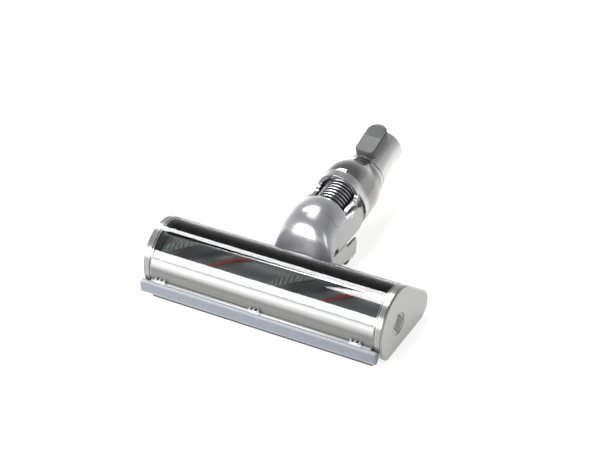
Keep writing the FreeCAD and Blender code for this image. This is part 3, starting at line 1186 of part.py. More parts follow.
# Release button: a sloping pill with finger ribs on its raised end
def release_button():
    half = value("Dims.button_half")
    long = value("Dims.button_long")
    thick = value("Dims.button_thick")
    drop = value("Dims.axis_drop")
    ribs = int(value("Dims.button_ribs"))
    shape = Part.makeBox(2 * half, long - half, thick, Vector(-half, 0, 0))
    shape = shape.fuse(Part.makeCylinder(half, thick, Vector(0, long - half, 0))).removeSplitter()
    uprights = [e for e in shape.Edges
                if abs(e.CenterOfMass.y) < 1e-6 and abs(e.CenterOfMass.z - thick / 2) < 1e-6]
    shape = shape.makeFillet(half * 0.45, uprights)
    rim = [e for e in shape.Edges if abs(e.CenterOfMass.z - thick) < 1e-6]
    shape = shape.makeFillet(half * 0.15, rim)
    rib_radius = half * 0.09
    first = long - half * 0.45
    for number in range(ribs):
        y = first - number * rib_radius * 3.2
        reach = math.sqrt(max(half ** 2 - max(y - long + half, 0) ** 2, 0)) * 0.78
        rib = Part.makeCylinder(rib_radius, 2 * reach, Vector(-reach, y, thick), AXES["X"])
        shape = shape.fuse(rib)
    spring_room = value("Dims.spring_radius + Dims.spring_wire") + 0.5
    shape = shape.cut(Part.makeCylinder(spring_room, thick * 0.6,
                                        Vector(0, value("Dims.spring_place"), -1.0)))
    slot = value("Dims.lug_thick") / 2 + 0.4
    hinge = value("Dims.button_hinge")
    pin = value("Dims.button_pin_radius")
    for side in (-1, 1):
        shape = shape.cut(Part.makeBox(2 * slot, 4 * pin + 2.4, thick * 0.35 + pin + 2.2 + 1,
                                       Vector(side * half * 0.5 - slot, hinge - 2 * pin - 1.2, -1)))
    shape = shape.cut(Part.makeCylinder(pin + value("Dims.fit_gap") / 2, 1.7 * half,
                                        Vector(-0.85 * half, hinge, thick * 0.35), AXES["X"]))
    shape.Placement = Placement(button_point(0, 0), Rotation(AXES["X"], value("Dims.button_rise")))
    room = Part.makeCylinder(value("Dims.tube_radius + Dims.run_gap"), value("2 * Dims.neck_length"),
                             Vector(0, 0, -drop), AXES["Y"])
    pressed = room.copy()
    pressed.rotate(button_point(value("Dims.button_hinge"), thick * 0.35), AXES["X"], value("Dims.button_press"))
    return shape.cut(room).cut(pressed)


part_shape("release_button", "neck", release_button())

# Button pin and spring
hinge_point = button_point(value("Dims.button_hinge"), value("Dims.button_thick") * 0.35)
pin_half = value("Dims.button_half") * 0.8
part_shape("button_pin", "neck", Part.makeCylinder(value("Dims.button_pin_radius"), 2 * pin_half,
                                                    hinge_point - Vector(pin_half, 0, 0), AXES["X"]))


def button_spring():
    """Coil of square wire between the tube and the button."""
    radius = value("Dims.spring_radius")
    wire = value("Dims.spring_wire")
    seat = button_point(value("Dims.spring_place"), 0)
    low = value("Dims.tube_radius - Dims.axis_drop") + wire * 1.5
    high = button_point(value("Dims.spring_place"), value("Dims.button_thick") * 0.6 - 1.0).z - 2.5 * wire
    helix = Part.makeHelix((high - low) / 3, high - low, radius)
    section = Part.makePolygon([Vector(radius - wire, 0, -wire), Vector(radius + wire, 0, -wire),
                                Vector(radius + wire, 0, wire), Vector(radius - wire, 0, wire),
                                Vector(radius - wire, 0, -wire)])
    coil = Part.Wire(helix.Edges).makePipeShell([section], True, True)
    coil.translate(Vector(0, seat.y, low))
    return coil


part_shape("button_spring", "neck", button_spring())

# Check every object, then write the pieces
doc.recompute()
HELPERS = ("Dims", "Probe")
pieces = [item for item in doc.Objects
          if item.TypeId in ("PartDesign::Body", "Part::Feature") and item.Name not in HELPERS]
for item in doc.Objects:
    if "Invalid" in item.State or "Error" in item.State:
        raise RuntimeError("%s failed: %s" % (item.Label, item.State))
for item in pieces:
    if item.Shape.isNull() or not item.Shape.isValid():
        raise RuntimeError("%s has no valid shape" % item.Label)
for item in pieces:
    item.Shape.exportStep("parts/%s.step" % item.Label)
    box = item.Shape.BoundBox
    print("%-20s solids %d volume %9.1f  x %7.1f %7.1f  y %7.1f %7.1f  z %6.1f %6.1f" % (
        item.Label, len(item.Shape.Solids), item.Shape.Volume, box.XMin, box.XMax, box.YMin, box.YMax,
        box.ZMin, box.ZMax))
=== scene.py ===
import json
import math
import random

import bpy
from mathutils import Matrix, Vector


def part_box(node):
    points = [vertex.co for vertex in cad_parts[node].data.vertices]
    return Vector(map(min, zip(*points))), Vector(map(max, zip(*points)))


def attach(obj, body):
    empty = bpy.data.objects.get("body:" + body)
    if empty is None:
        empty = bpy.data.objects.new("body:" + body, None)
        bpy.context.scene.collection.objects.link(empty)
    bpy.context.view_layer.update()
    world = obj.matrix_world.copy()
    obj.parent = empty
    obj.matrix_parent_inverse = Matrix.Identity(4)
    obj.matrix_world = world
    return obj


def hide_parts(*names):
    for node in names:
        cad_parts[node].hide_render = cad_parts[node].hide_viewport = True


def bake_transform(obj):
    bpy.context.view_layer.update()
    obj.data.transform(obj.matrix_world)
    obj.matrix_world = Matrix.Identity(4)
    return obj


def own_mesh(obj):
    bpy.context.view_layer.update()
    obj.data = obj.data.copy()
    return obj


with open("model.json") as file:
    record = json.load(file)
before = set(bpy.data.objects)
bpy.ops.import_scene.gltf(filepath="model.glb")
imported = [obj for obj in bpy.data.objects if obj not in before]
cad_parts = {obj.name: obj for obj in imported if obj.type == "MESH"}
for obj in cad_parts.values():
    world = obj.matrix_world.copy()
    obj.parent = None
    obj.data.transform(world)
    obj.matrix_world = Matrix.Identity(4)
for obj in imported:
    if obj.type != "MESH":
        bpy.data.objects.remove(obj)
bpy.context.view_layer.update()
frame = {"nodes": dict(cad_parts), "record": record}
scene = bpy.context.scene
nodes = frame["nodes"]
MM = 0.001

# Places in the row frame, millimetres
HEAD_Y = (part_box("end_cap_right")[0].y + 0.0355) / MM
AXIS_Z = 29.4
TILT = math.radians(7.7)
PIVOT = Vector((0, HEAD_Y + 101.5, 54.5))
ALONG = Vector((0, math.cos(TILT), math.sin(TILT)))
ABOVE = Vector((0, -math.sin(TILT), math.cos(TILT)))


# Material helpers: lengths in metres, angles round the roll's axis in degrees
def toned(color, share, lift=0.0):
    """The colour made darker or lighter."""
    return tuple(min(c * share + lift, 1.0) for c in color)


class Graph:
    """Short names for making the nodes of one material or of the world."""

    def __init__(self, owner, output="ShaderNodeOutputMaterial"):
        self.owner = owner
        owner.use_nodes = True
        self.tree = owner.node_tree
        self.tree.nodes.clear()
        self.output = self.add(output)
        self.places = self.add("ShaderNodeTexCoord")
        self.coords = self.places.outputs["Object"]

    def add(self, kind, **settings):
        node = self.tree.nodes.new(kind)
        for key, setting in settings.items():
            setattr(node, key, setting)
        return node

    def link(self, source, target):
        self.tree.links.new(source, target)

    def surface(self, shader):
        self.link(shader, self.output.inputs["Surface"])
        return self.owner

    def noise(self, scale, detail=3.0, roughness=0.55, coords=None):
        node = self.add("ShaderNodeTexNoise")
        node.inputs["Scale"].default_value = scale
        node.inputs["Detail"].default_value = detail
        node.inputs["Roughness"].default_value = roughness
        self.link(coords or self.coords, node.inputs["Vector"])
        return node.outputs["Fac"]

    def stretch(self, x, y, z):
        node = self.add("ShaderNodeMapping")
        node.inputs["Scale"].default_value = (x, y, z)
        self.link(self.coords, node.inputs["Vector"])
        return node.outputs["Vector"]

    def split(self, vector):
        node = self.add("ShaderNodeSeparateXYZ")
        self.link(vector, node.inputs[0])
        return node.outputs

    def span(self, source, low, high, from_low=0.0, from_high=1.0):
        node = self.add("ShaderNodeMapRange")
        node.inputs["From Min"].default_value = from_low
        node.inputs["From Max"].default_value = from_high
        node.inputs["To Min"].default_value = low
        node.inputs["To Max"].default_value = high
        self.link(source, node.inputs["Value"])
        return node.outputs["Result"]

    def math(self, operation, *items):
        node = self.add("ShaderNodeMath", operation=operation)
        for socket, item in zip(node.inputs, items):
            if isinstance(item, (int, float)):
                socket.default_value = item
            else:
                self.link(item, socket)
        return node.outputs[0]

    def blend(self, factor, a, b):
        node = self.add("ShaderNodeMix", data_type="RGBA")
        self.link(factor, node.inputs["Factor"])
        for socket, item in ((node.inputs[6], a), (node.inputs[7], b)):
            if isinstance(item, tuple):
                socket.default_value = (*item, 1.0)
            else:
                self.link(item, socket)
        return node.outputs[2]

    def bump(self, height, strength, distance):
        node = self.add("ShaderNodeBump")
        node.inputs["Strength"].default_value = strength
        node.inputs["Distance"].default_value = distance
        self.link(height, node.inputs["Height"])
        return node.outputs["Normal"]

    def shader(self, kind, **settings):
        """Shader node; an underscore in a setting's name stands for a space."""
        node = self.add(kind)
        for key, setting in settings.items():
            socket = node.inputs[key.replace("_", " ")]
            if isinstance(setting, (int, float)):
                socket.default_value = setting
            elif isinstance(setting, tuple):
                socket.default_value = (*setting, 1.0)
            else:
                self.link(setting, socket)
        return node.outputs[0]

    def principled(self, **settings):
        return self.shader("ShaderNodeBsdfPrincipled", **settings)

    def mix(self, factor, a, b):
        node = self.add("ShaderNodeMixShader")
        self.link(factor, node.inputs["Fac"])
        self.link(a, node.inputs[1])
        self.link(b, node.inputs[2])
        return node.outputs[0]


def material_graph(name):
    return Graph(bpy.data.materials.new(name))


def moulded(name, color, rough, grain=900.0, metallic=0.0, coat=0.0, wear_and_crease_shade=0.0):
    """Injection-moulded plastic: fine grain, faint tone changes, slightly worn edges and painted
    shade in its creases.
    """
    g = material_graph(name)
    tone = g.span(g.noise(35.0, 4.0), 0.94, 1.05)
    patches = g.span(g.noise(14.0, 2.0), 0.0, 1.0, 0.35, 0.65)
    shade = g.blend(patches, toned(color, 0.93), color)
    if wear_and_crease_shade:
        edge = g.add("ShaderNodeNewGeometry").outputs["Pointiness"]
        # Painted shade: darker in creases and hollows, where the surface turns inwards
        painted_crease_shade = g.span(edge, 0.75, 0.0, 0.40, 0.485)
        shade = g.blend(painted_crease_shade, shade, toned(color, 0.3))
        worn = g.math("MULTIPLY", g.span(edge, 0.0, wear_and_crease_shade, 0.52, 0.60), g.noise(160.0, 4.0))
        shade = g.blend(worn, shade, toned(color, 1.5, 0.05))
    return g.surface(g.principled(
        Base_Color=shade, Roughness=g.math("MULTIPLY", tone, rough), Metallic=metallic,
        Normal=g.bump(g.noise(grain, 2.0), 0.25, 0.00004), Coat_Weight=coat, Coat_Roughness=0.04))


def lacquer(name, color, rough, metallic):
    """Glossy metallic paint under a clear coat."""
    g = material_graph(name)
    flakes = g.span(g.noise(2600.0, 1.0), 0.0, 1.0, 0.42, 0.62)
    shade = g.blend(flakes, toned(color, 0.86), toned(color, 1.12))
    swirl = g.span(g.noise(22.0, 5.0), rough * 0.85, rough * 1.25)
    ripple = g.bump(g.noise(60.0, 2.0), 0.04, 0.0002)
    return g.surface(g.principled(
        Base_Color=shade, Roughness=swirl, Metallic=metallic, Normal=ripple,
        Coat_Weight=1.0, Coat_Roughness=0.03))


def two_finish(name, face, edge, face_rough, edge_rough, edge_metal, lines=()):
    """Satin on the flat side faces, polished on what turns away, with lines across X: dark seams,
    and a painted highlight line where the tone is above 1.
    """
    g = material_graph(name)
    normal = g.split(g.add("ShaderNodeNewGeometry").outputs["Normal"])
    flat = g.span(g.math("ABSOLUTE", normal["X"]), 0.0, 1.0, 0.90, 0.97)
    grain = g.noise(700.0, 2.0)
    tone = g.span(g.noise(18.0, 3.0), 0.96, 1.03)
    shade = g.blend(flat, edge, face)
    if lines:
        across = g.math("ABSOLUTE", g.split(g.coords)["X"])
    # A tone above 1 paints a highlight line, a tone below 1 a dark seam
    for start, end, line_tone in lines:
        on = g.math("MULTIPLY", g.math("GREATER_THAN", across, start),
                    g.math("LESS_THAN", across, end))
        on = g.math("MULTIPLY", on, g.math("SUBTRACT", 1.0, flat))
        shade = g.blend(on, shade, toned(edge, line_tone))
    rough = g.math("MULTIPLY", g.span(flat, edge_rough, face_rough), tone)
    return g.surface(g.principled(
        Base_Color=shade, Roughness=rough, Metallic=g.span(flat, edge_metal, 0.25),
        Normal=g.bump(grain, 0.12, 0.00003), Coat_Weight=0.6, Coat_Roughness=0.05))


def brushed(name, color, rough):
    """Bright metal with fine lines drawn along X."""
    g = material_graph(name)
    lines = g.noise(8.0, 6.0, 0.7, g.stretch(4.0, 400.0, 400.0))
    return g.surface(g.principled(
        Base_Color=g.blend(lines, toned(color, 0.85), color),
        Roughness=g.span(lines, rough * 0.8, rough * 1.3), Metallic=1.0,
        Normal=g.bump(lines, 0.15, 0.00003)))


def rubber(name, color, rough=0.55):
    """Matt rubber with a fine uneven surface."""
    g = material_graph(name)
    shade = g.blend(g.noise(120.0, 4.0), toned(color, 0.8), toned(color, 1.4, 0.004))
    return g.surface(g.principled(
        Base_Color=shade, Roughness=g.span(g.noise(60.0), rough * 0.85, rough * 1.15),
        Normal=g.bump(g.noise(1500.0, 2.0), 0.35, 0.00005)))


def pile(name, root, tip):
    """Bristle fibre: painted shade darkens it towards the root; lighter and uneven at the tips."""
    g = material_graph(name)
    place = g.split(g.coords)
    y = g.math("SUBTRACT", place["Y"], HEAD_Y * MM)
    z = g.math("SUBTRACT", place["Z"], AXIS_Z * MM)
    # Distance from the roll's axis
    reach = g.math("SQRT", g.math("ADD", g.math("MULTIPLY", y, y), g.math("MULTIPLY", z, z)))
    # Painted shade: darker towards the roll's core, down among the fibres
    high = g.span(reach, 0.0, 1.0, 0.0215, 0.0284)
    tone = g.blend(g.span(g.noise(700.0, 3.0), 0.0, 1.0, 0.4, 0.6), toned(tip, 0.6), tip)
    return g.surface(g.principled(
        Base_Color=g.blend(high, root, tone), Roughness=0.75, Sheen_Weight=0.25,
        Sheen_Roughness=0.4))


def felt(name, color, top, bottom):
    """Dense felt: fuzzy colour, soft pile bump, a sheen, a painted highlight along the top and
    painted grey shading along the bottom.
    """
    g = material_graph(name)
    fine = g.noise(1400.0, 4.0, 0.7)
    clumps = g.noise(230.0, 3.0, 0.6)
    shade = g.blend(g.span(fine, 0.0, 1.0, 0.35, 0.68), toned(color, 0.72), toned(color, 1.3))
    shade = g.blend(g.span(clumps, 0.0, 0.35, 0.4, 0.7), shade, toned(color, 0.8))
    height = g.split(g.coords)["Z"]
    # Painted highlight along the top
    shade = g.blend(g.span(height, 0.0, 0.7, 0.0180, 0.0200), shade, top)
    # Painted grey shading along the bottom
    shade = g.blend(g.span(height, 0.6, 0.0, 0.0080, 0.0110), shade, bottom)
    fuzz = g.math("ADD", fine, g.math("MULTIPLY", clumps, 1.5))
    return g.surface(g.principled(
        Base_Color=shade, Roughness=0.92, Normal=g.bump(fuzz, 0.8, 0.00035), Sheen_Weight=0.5,
        Sheen_Roughness=0.5))


def clear_plastic(name, tint, painted_reflection_share):
    """Clear polished plastic with a milky band low on the front that paints the floor's reflection,
    grey low down and near white higher up; the last argument is the band's share.
    """
    g = material_graph(name)
    wave = g.bump(g.noise(12.0, 1.0, 0.4, g.stretch(0.25, 1.0, 1.0)), 0.012, 0.0004)
    place = g.split(g.coords)
    front = g.math("SUBTRACT", HEAD_Y * MM, place["Y"])
    up = g.math("SUBTRACT", place["Z"], AXIS_Z * MM)
    # Angle up from the front, which fades the band out towards the top
    turn = g.math("DEGREES", g.math("ARCTAN2", up, front))
    low = g.span(turn, 1.0, 0.0, 19.0, 28.0)
    # Painted reflection of the floor in the band: faint streaks, grey low down, near white higher
    # up
    streaks = g.span(g.noise(5.0, 3.0, 0.6, g.stretch(0.3, 30.0, 30.0)), 0.78, 1.0, 0.3, 0.7)
    painted_reflection_tone = g.blend(g.span(turn, 0.0, 1.0, 7.0, 22.0), (0.20, 0.20, 0.195), (0.93, 0.93, 0.93))
    body = g.mix(g.math("MULTIPLY", g.math("MULTIPLY", low, streaks), painted_reflection_share),
                 g.shader("ShaderNodeBsdfTransparent", Color=tint),
                 g.shader("ShaderNodeBsdfDiffuse", Color=painted_reflection_tone))
    return g.surface(g.mix(g.shader("ShaderNodeFresnel", IOR=1.6, Normal=wave), body,
                           g.shader("ShaderNodeBsdfGlossy", Roughness=0.015, Normal=wave)))


# Materials by slot, and the CAD pieces that have their own
MATERIALS = {
    "satin_grey": moulded("satin_grey", (0.50, 0.50, 0.49), 0.30,
                          metallic=0.35, coat=0.35, wear_and_crease_shade=0.5),
    "tube_grey": moulded("tube_grey", (0.62, 0.62, 0.62), 0.15, metallic=0.8, coat=0.6, wear_and_crease_shade=0.3),
    "housing_grey": moulded("housing_grey", (0.20, 0.20, 0.21), 0.30,
                            metallic=0.3, coat=0.4, wear_and_crease_shade=0.3),
    "dark_plastic": moulded("dark_plastic", (0.028, 0.028, 0.03), 0.42, wear_and_crease_shade=0.3),
    "clear_plastic": clear_plastic("clear_plastic", (0.93, 0.94, 0.94), painted_reflection_share=0.74),
    "gloss_dark": lacquer("gloss_dark", (0.30, 0.30, 0.33), 0.17, 0.85),
    "silver_paint": lacquer("silver_paint", (0.56, 0.56, 0.56), 0.14, 0.85),
    # top is a painted highlight, bottom painted grey shading
    "felt": felt("felt", (0.185, 0.205, 0.235), top=(0.46, 0.47, 0.49), bottom=(0.28, 0.28, 0.28)),
    "soft_black": rubber("soft_black", (0.018, 0.018, 0.019)),
    "roll_grey": moulded("roll_grey", (0.03, 0.03, 0.032), 0.5),
    "steel": brushed("steel", (0.62, 0.62, 0.62), 0.25),
    "contact_metal": brushed("contact_metal", (0.80, 0.64, 0.33), 0.25),
    "red_pile": pile("red_pile", (0.12, 0.005, 0.008), (0.88, 0.055, 0.085)),
    "black_pile": pile("black_pile", (0.006, 0.006, 0.007), (0.022, 0.022, 0.025)),
    "grey_pile": pile("grey_pile", (0.02, 0.024, 0.02), (0.62, 0.70, 0.60)),
    "tread": rubber("tread", (0.02, 0.02, 0.02), 0.6),
}
# Lines on the end caps: from and to in metres off the middle, and tone; the dark ones are seams,
# the one at tone 1.7 a painted highlight along the bevel
SEAMS_AND_HIGHLIGHT = ((0.1171, 0.1180, 0.12), (0.1180, 0.1188, 1.7), (0.1232, 0.1237, 0.35))
CAP = two_finish("cap_paint", (0.39, 0.39, 0.385), (0.27, 0.27, 0.265),
                 face_rough=0.42, edge_rough=0.24, edge_metal=0.65, lines=SEAMS_AND_HIGHLIGHT)
ELBOW = two_finish("elbow_paint", (0.44, 0.44, 0.44), (0.46, 0.46, 0.48),
                   face_rough=0.36, edge_rough=0.25, edge_metal=0.8)
OWN = {
    "end_cap_right": CAP, "end_cap_left": CAP,
    "yoke": ELBOW, "elbow_cover": ELBOW, "collar_cover": ELBOW,
    "dome_shell": lacquer("dome_gloss", (0.25, 0.25, 0.25), 0.08, 0.9),
    "release_button": moulded("button_grey", (0.06, 0.06, 0.061), 0.5, wear_and_crease_shade=0.4),
    "vent_grille": moulded("vent_grey", (0.38, 0.38, 0.38), 0.4, wear_and_crease_shade=0.6),
    "hose_cuff_front": rubber("cuff_black", (0.012, 0.012, 0.013)),
    "hose_cuff_rear": rubber("rear_cuff_black", (0.012, 0.012, 0.013)),
}
for part in frame["record"]["subparts"]:
    node = nodes[part["node"]]
    node.data.materials.clear()
    node.data.materials.append(OWN.get(part["node"], MATERIALS[part["material_slot"]]))

# Rounded edges on the moulded and turned pieces, millimetres
EDGE = {
    "end_cap_right": 0.35, "end_cap_left": 0.35, "yoke": 0.6, "elbow_cover": 0.35,
    "collar_cover": 0.35, "wheel_carriage": 0.4, "fork_frame": 0.45, "trim_ring": 0.2,
    "dome_shell": 0.3, "wand_tube": 0.35, "release_button": 0.25, "main_housing": 0.3,
    "sole_plate": 0.3, "bumper_strip": 0.3, "clear_cover": 0.15, "vent_grille": 0.08,
    "cap_lock": 0.25, "lip_seal": 0.2, "front_roller_left": 0.5,
    "front_roller_right": 0.5, "rear_wheel_left": 0.8, "rear_wheel_right": 0.8, "brush_tube": 0.2,
}
OTHER_EDGE = 0.12
for name, node in nodes.items():
    bpy.context.view_layer.objects.active = node
    if node.data.has_custom_normals:
        bpy.ops.mesh.customdata_custom_splitnormals_clear()
    node.data.polygons.foreach_set("use_smooth", [True] * len(node.data.polygons))
    weld = node.modifiers.new("weld", "WELD")
    weld.merge_threshold = 0.000004
    bevel = node.modifiers.new("bevel", "BEVEL")
    bevel.width = EDGE.get(name, OTHER_EDGE) * MM
    bevel.segments = 2
    bevel.limit_method = "ANGLE"
    bevel.angle_limit = math.radians(32)
    bevel.harden_normals = True
    bevel.use_clamp_overlap = True


# New pieces
def add_mesh(name, verts, faces, body, slot, replaced=(), smooth=True, index=None, own=None):
    """Mesh piece in millimetres that rides on a CAD body; own lists its own materials."""
    mesh = bpy.data.meshes.new(name)
    mesh.from_pydata([tuple(c * MM for c in v) for v in verts], [], faces)
    for material in own or (MATERIALS[slot],):
        mesh.materials.append(material)
    if index:
        mesh.polygons.foreach_set("material_index", index)
    mesh.polygons.foreach_set("use_smooth", [smooth] * len(mesh.polygons))
    mesh.update()
    piece = bpy.data.objects.new(name, mesh)
    scene.collection.objects.link(piece)
    if body:
        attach(piece, body)
    if replaced:
        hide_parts(*replaced)
    return piece


def ring_faces(base, rings, around, flip=False):
    """Quads between neighbouring rings of points."""
    quads = []
    for ring in range(rings):
        for k in range(around):
            a = base + ring * around + k
            b = base + ring * around + (k + 1) % around
            quads.append((a, a + around, b + around, b) if flip else (a, b, b + around, a + around))
    return quads


def end_faces(base, rings, around, flip=False):
    """The faces that close the first and the last ring."""
    first = tuple(range(base, base + around))
    last = tuple(base + rings * around + k for k in range(around))
    return [first, last[::-1]] if flip else [first[::-1], last]


# Bristle strips wound round the roll
ROLL_HALF = 113.0
ROLL_TURNS = 0.942
ROLL_START = math.radians(219.5)
TUBE_R = 21.0
STRIP_STEPS = 220


def strip_angle(x, first_turn):
    share = (x + ROLL_HALF) / (2 * ROLL_HALF)
    return ROLL_START + 2 * math.pi * (first_turn - ROLL_TURNS * share)


def roll_point(x, angle, radius):
    return (x, HEAD_Y + math.cos(angle) * radius, AXIS_Z + math.sin(angle) * radius)


def strip_core(verts, faces, first, width, core):
    """The low crowned core of one strip."""
    across = max(2, int(width / 1.5))
    row = across + 3
    base = len(verts)
    for step in range(STRIP_STEPS + 1):
        x = -ROLL_HALF + 2 * ROLL_HALF * step / STRIP_STEPS
        angle = strip_angle(x, first)
        for side in range(across + 1):
            share = side / across - 0.5
            crown = core - 0.5 * (2 * share) ** 4
            uneven = 0.12 * math.sin(step * 2.2 + side)
            verts.append(roll_point(x, angle + share * width / TUBE_R, crown + uneven))
        for share in (-0.5, 0.5):
            verts.append(roll_point(x, angle + share * width / TUBE_R, TUBE_R - 0.3))
    for step in range(STRIP_STEPS):
        a = base + step * row
        b = a + row
        for side in range(across):
            faces.append((a + side, b + side, b + side + 1, a + side + 1))
        faces.append((a + row - 2, b + row - 2, b, a))
        faces.append((a + across, b + across, b + row - 1, a + row - 1))


def bristle_piece(name, slot, node, *, first_turn, width, core, top, spacing, thick, splay, seed,
                  clump=0.0):
    """Two helical strips of tapered fibres, drawn together in clumps, on a low core."""
    rng = random.Random(seed)
    verts, faces = [], []
    end_room = 0.4
    root = core - 1.6
    count = int(2 * ROLL_HALF / spacing)
    rows = max(2, int(width / spacing))
    for half_turn in (0.0, 0.5):
        first = first_turn + half_turn
        strip_core(verts, faces, first, width, core)
        for step in range(count):
            for line in range(rows):
                x = (-ROLL_HALF + end_room
                     + 2 * (ROLL_HALF - end_room) * (step + rng.random() * 0.8) / count)
                if clump:
                    middle = (math.floor(x / clump) + 0.5) * clump
                    x = middle + (x - middle) * 0.5
                share = (line + rng.random()) / rows - 0.5
                angle = strip_angle(x, first) + share * width / TUBE_R
                reach = top - rng.random() * 0.9 - 0.8 * abs(2 * share) ** 3
                lean_x = rng.gauss(0, splay)
                lean = rng.gauss(share * 0.5, splay) / reach
                turn = rng.random() * 6.28
                foot = len(verts)
                for corner in range(3):
                    c = turn + corner * 2.094
                    verts.append(roll_point(x + thick * math.cos(c),
                                            angle + thick * math.sin(c) / root, root))
                tip_x = min(max(x + lean_x, -ROLL_HALF), ROLL_HALF)
                verts.append(roll_point(tip_x, angle + lean, reach))
                faces += [(foot, foot + 1, foot + 3), (foot + 1, foot + 2, foot + 3),
                          (foot + 2, foot, foot + 3)]
    return add_mesh(name, verts, faces, "brush_roll", slot, (node,), smooth=False)


bristle_piece("red_pile_strips", "red_pile", "red_bristles", first_turn=0.0, width=2.6, core=24.2,
              top=28.4, spacing=0.62, thick=0.26, splay=0.2, seed=11, clump=2.3)
bristle_piece("black_pile_strips", "black_pile", "black_bristles", first_turn=-0.13, width=9.0,
              core=26.2, top=27.9, spacing=0.95, thick=0.34, splay=0.30, seed=12)
bristle_piece("tuft_strips", "grey_pile", "nylon_tufts", first_turn=0.27, width=8.0, core=23.4,
              top=28.2, spacing=1.0, thick=0.3, splay=0.3, seed=13, clump=4.2)


# Wire-wound hose through the window, between head and neck
def neck_point(x, y, z):
    return PIVOT + Vector((x, 0, 0)) + ALONG * y + ABOVE * z


def hose():
    start, end = -14.4, 29.4
    coils = 10.5
    sleeve, groove, wire_path, wire = 15.3, 0.6, 15.75, 0.72
    around, steps, sides = 48, 126, 8
    verts = []
    for step in range(steps + 1):
        y = start + (end - start) * step / steps
        for k in range(around):
            a = 2 * math.pi * k / around
            phase = 2 * math.pi * (coils * step / steps) - a
            radius = sleeve - groove + groove * math.cos(phase)
            verts.append(neck_point(radius * math.sin(a), y, radius * math.cos(a)))
    faces = ring_faces(0, steps, around)
    index = [0] * len(faces)
    turns = int(coils * around)
    base = len(verts)
    for step in range(turns + 1):
        a = 2 * math.pi * step / around
        y = start + (end - start) * step / turns
        y = min(max(y, start + wire), end - wire)
        for k in range(sides):
            c = 2 * math.pi * k / sides
            radius = wire_path + wire * math.cos(c)
            verts.append(neck_point(radius * math.sin(a), y + wire * math.sin(c),
                                    radius * math.cos(a)))
    faces += ring_faces(base, turns, sides, flip=True)
    index += [1] * (turns * sides)
    own = (rubber("hose_sleeve", (0.008, 0.008, 0.009), 0.5),
           brushed("hose_wire", (0.60, 0.60, 0.61), 0.2))
    piece = add_mesh("wound_hose", verts, faces, None, "soft_black", index=index, own=own)
    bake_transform(piece)
    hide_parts("hose")


hose()


# Return spring under the release button
def coil_spring():
    low, high = (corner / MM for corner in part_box("button_spring"))
    centre = (low + high) / 2
    radius, wire, turns = 2.6, 0.38, 4.0
    around, sides = 20, 8
    bottom, top = low.z + wire, high.z - wire
    verts = []
    steps = int(turns * around)
    for step in range(steps + 1):
        share = step / steps
        a = 2 * math.pi * turns * share
        height = bottom + (top - bottom) * share
        for k in range(sides):
            c = 2 * math.pi * k / sides
            reach = radius + wire * math.cos(c)
            verts.append((centre.x + reach * math.cos(a), centre.y + reach * math.sin(a),
                          height + wire * math.sin(c)))
    faces = ring_faces(0, steps, sides) + end_faces(0, steps, sides)
    piece = add_mesh("return_spring", verts, faces, "wand_socket", "steel", ("button_spring",))
    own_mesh(piece)


coil_spring()


# Felt bumper: a soft rounded bar in front of the rail
def bumper():
    rng = random.Random(21)
    left, right = -127.2, 122.6
    middle_y, middle_z = HEAD_Y - 37.3, 13.5
    deep, tall = 2.75, 6.9
    round_end, swollen = 3.0, 7.0
    steps, around = 260, 36
    verts = []
    for step in range(steps + 1):
        x = left + (right - left) * step / steps
        end = min(x - left, right - x)
        share = 1.0
        if end <= round_end:
            share = math.sqrt(max(1 - (1 - end / round_end) ** 2, 0.0)) * 0.75 + 0.25
        if x - left < swollen:
            share *= 1.0 + 0.09 * math.sin(math.pi * (x - left) / swollen)
        for k in range(around):
            a = 2 * math.pi * k / around
            c, d = math.cos(a), math.sin(a)
            y = middle_y + share * deep * math.copysign(abs(c) ** 0.75, c)
            z = middle_z + share * tall * math.copysign(abs(d) ** 0.72, d)
            verts.append((x + rng.uniform(-0.08, 0.08), y + rng.uniform(-0.06, 0.06),
                          z + rng.uniform(-0.08, 0.08)))
    faces = ring_faces(0, steps, around) + end_faces(0, steps, around)
    add_mesh("felt_bumper", verts, faces, "head", "felt", ("bumper_strip",))


bumper()


# Clear lip under the cover and the three clips that hold it
def rounded_bar(verts, faces, x_span, y_span, z_span, radius):
    """Bar along X with a rounded section and narrowed ends, added to the lists."""
    (x0, x1), (y0, y1), (z0, z1) = x_span, y_span, z_span
    corners = []
    for cy, cz, start in ((y1 - radius, z1 - radius, 0), (y0 + radius, z1 - radius, 90),
                          (y0 + radius, z0 + radius, 180), (y1 - radius, z0 + radius, 270)):
        for part in range(4):
            a = math.radians(start + part * 30)
            corners.append((cy + radius * math.cos(a), cz + radius * math.sin(a)))
    base, count = len(verts), len(corners)
    middle_y, middle_z = (y0 + y1) / 2, (z0 + z1) / 2
    stations = ((x0, 0.75), (x0 + radius * 0.6, 1.0), (x1 - radius * 0.6, 1.0), (x1, 0.75))
    for x, share in stations:
        for y, z in corners:
            verts.append((x, middle_y + (y - middle_y) * share, middle_z + (z - middle_z) * share))
    faces += ring_faces(base, len(stations) - 1, count, flip=True)
    faces += end_faces(base, len(stations) - 1, count, flip=True)


def lip_and_clips():
    verts, faces = [], []

    def bar(x0, x1, front, rear, low, high, radius):
        rounded_bar(verts, faces, (x0, x1), (HEAD_Y - front, HEAD_Y - rear), (low, high), radius)

    bar(-115.4, 115.4, 37.2, 34.3, 20.5, 22.4, 0.8)
    for middle in (-105.0, -4.0, 100.0):
        bar(middle - 6.5, middle + 6.5, 38.2, 36.4, 20.9, 24.4, 0.7)
        for offset in (-5.2, -1.0, 3.6):
            bar(middle + offset, middle + offset + 1.5, 37.6, 34.6, 21.6, 25.9, 0.5)
    own = (moulded("lip_clear", (0.50, 0.51, 0.52), 0.16, grain=300.0, metallic=0.2, coat=1.0),)
    add_mesh("cover_lip", verts, faces, "head", "clear_plastic", own=own)


lip_and_clips()

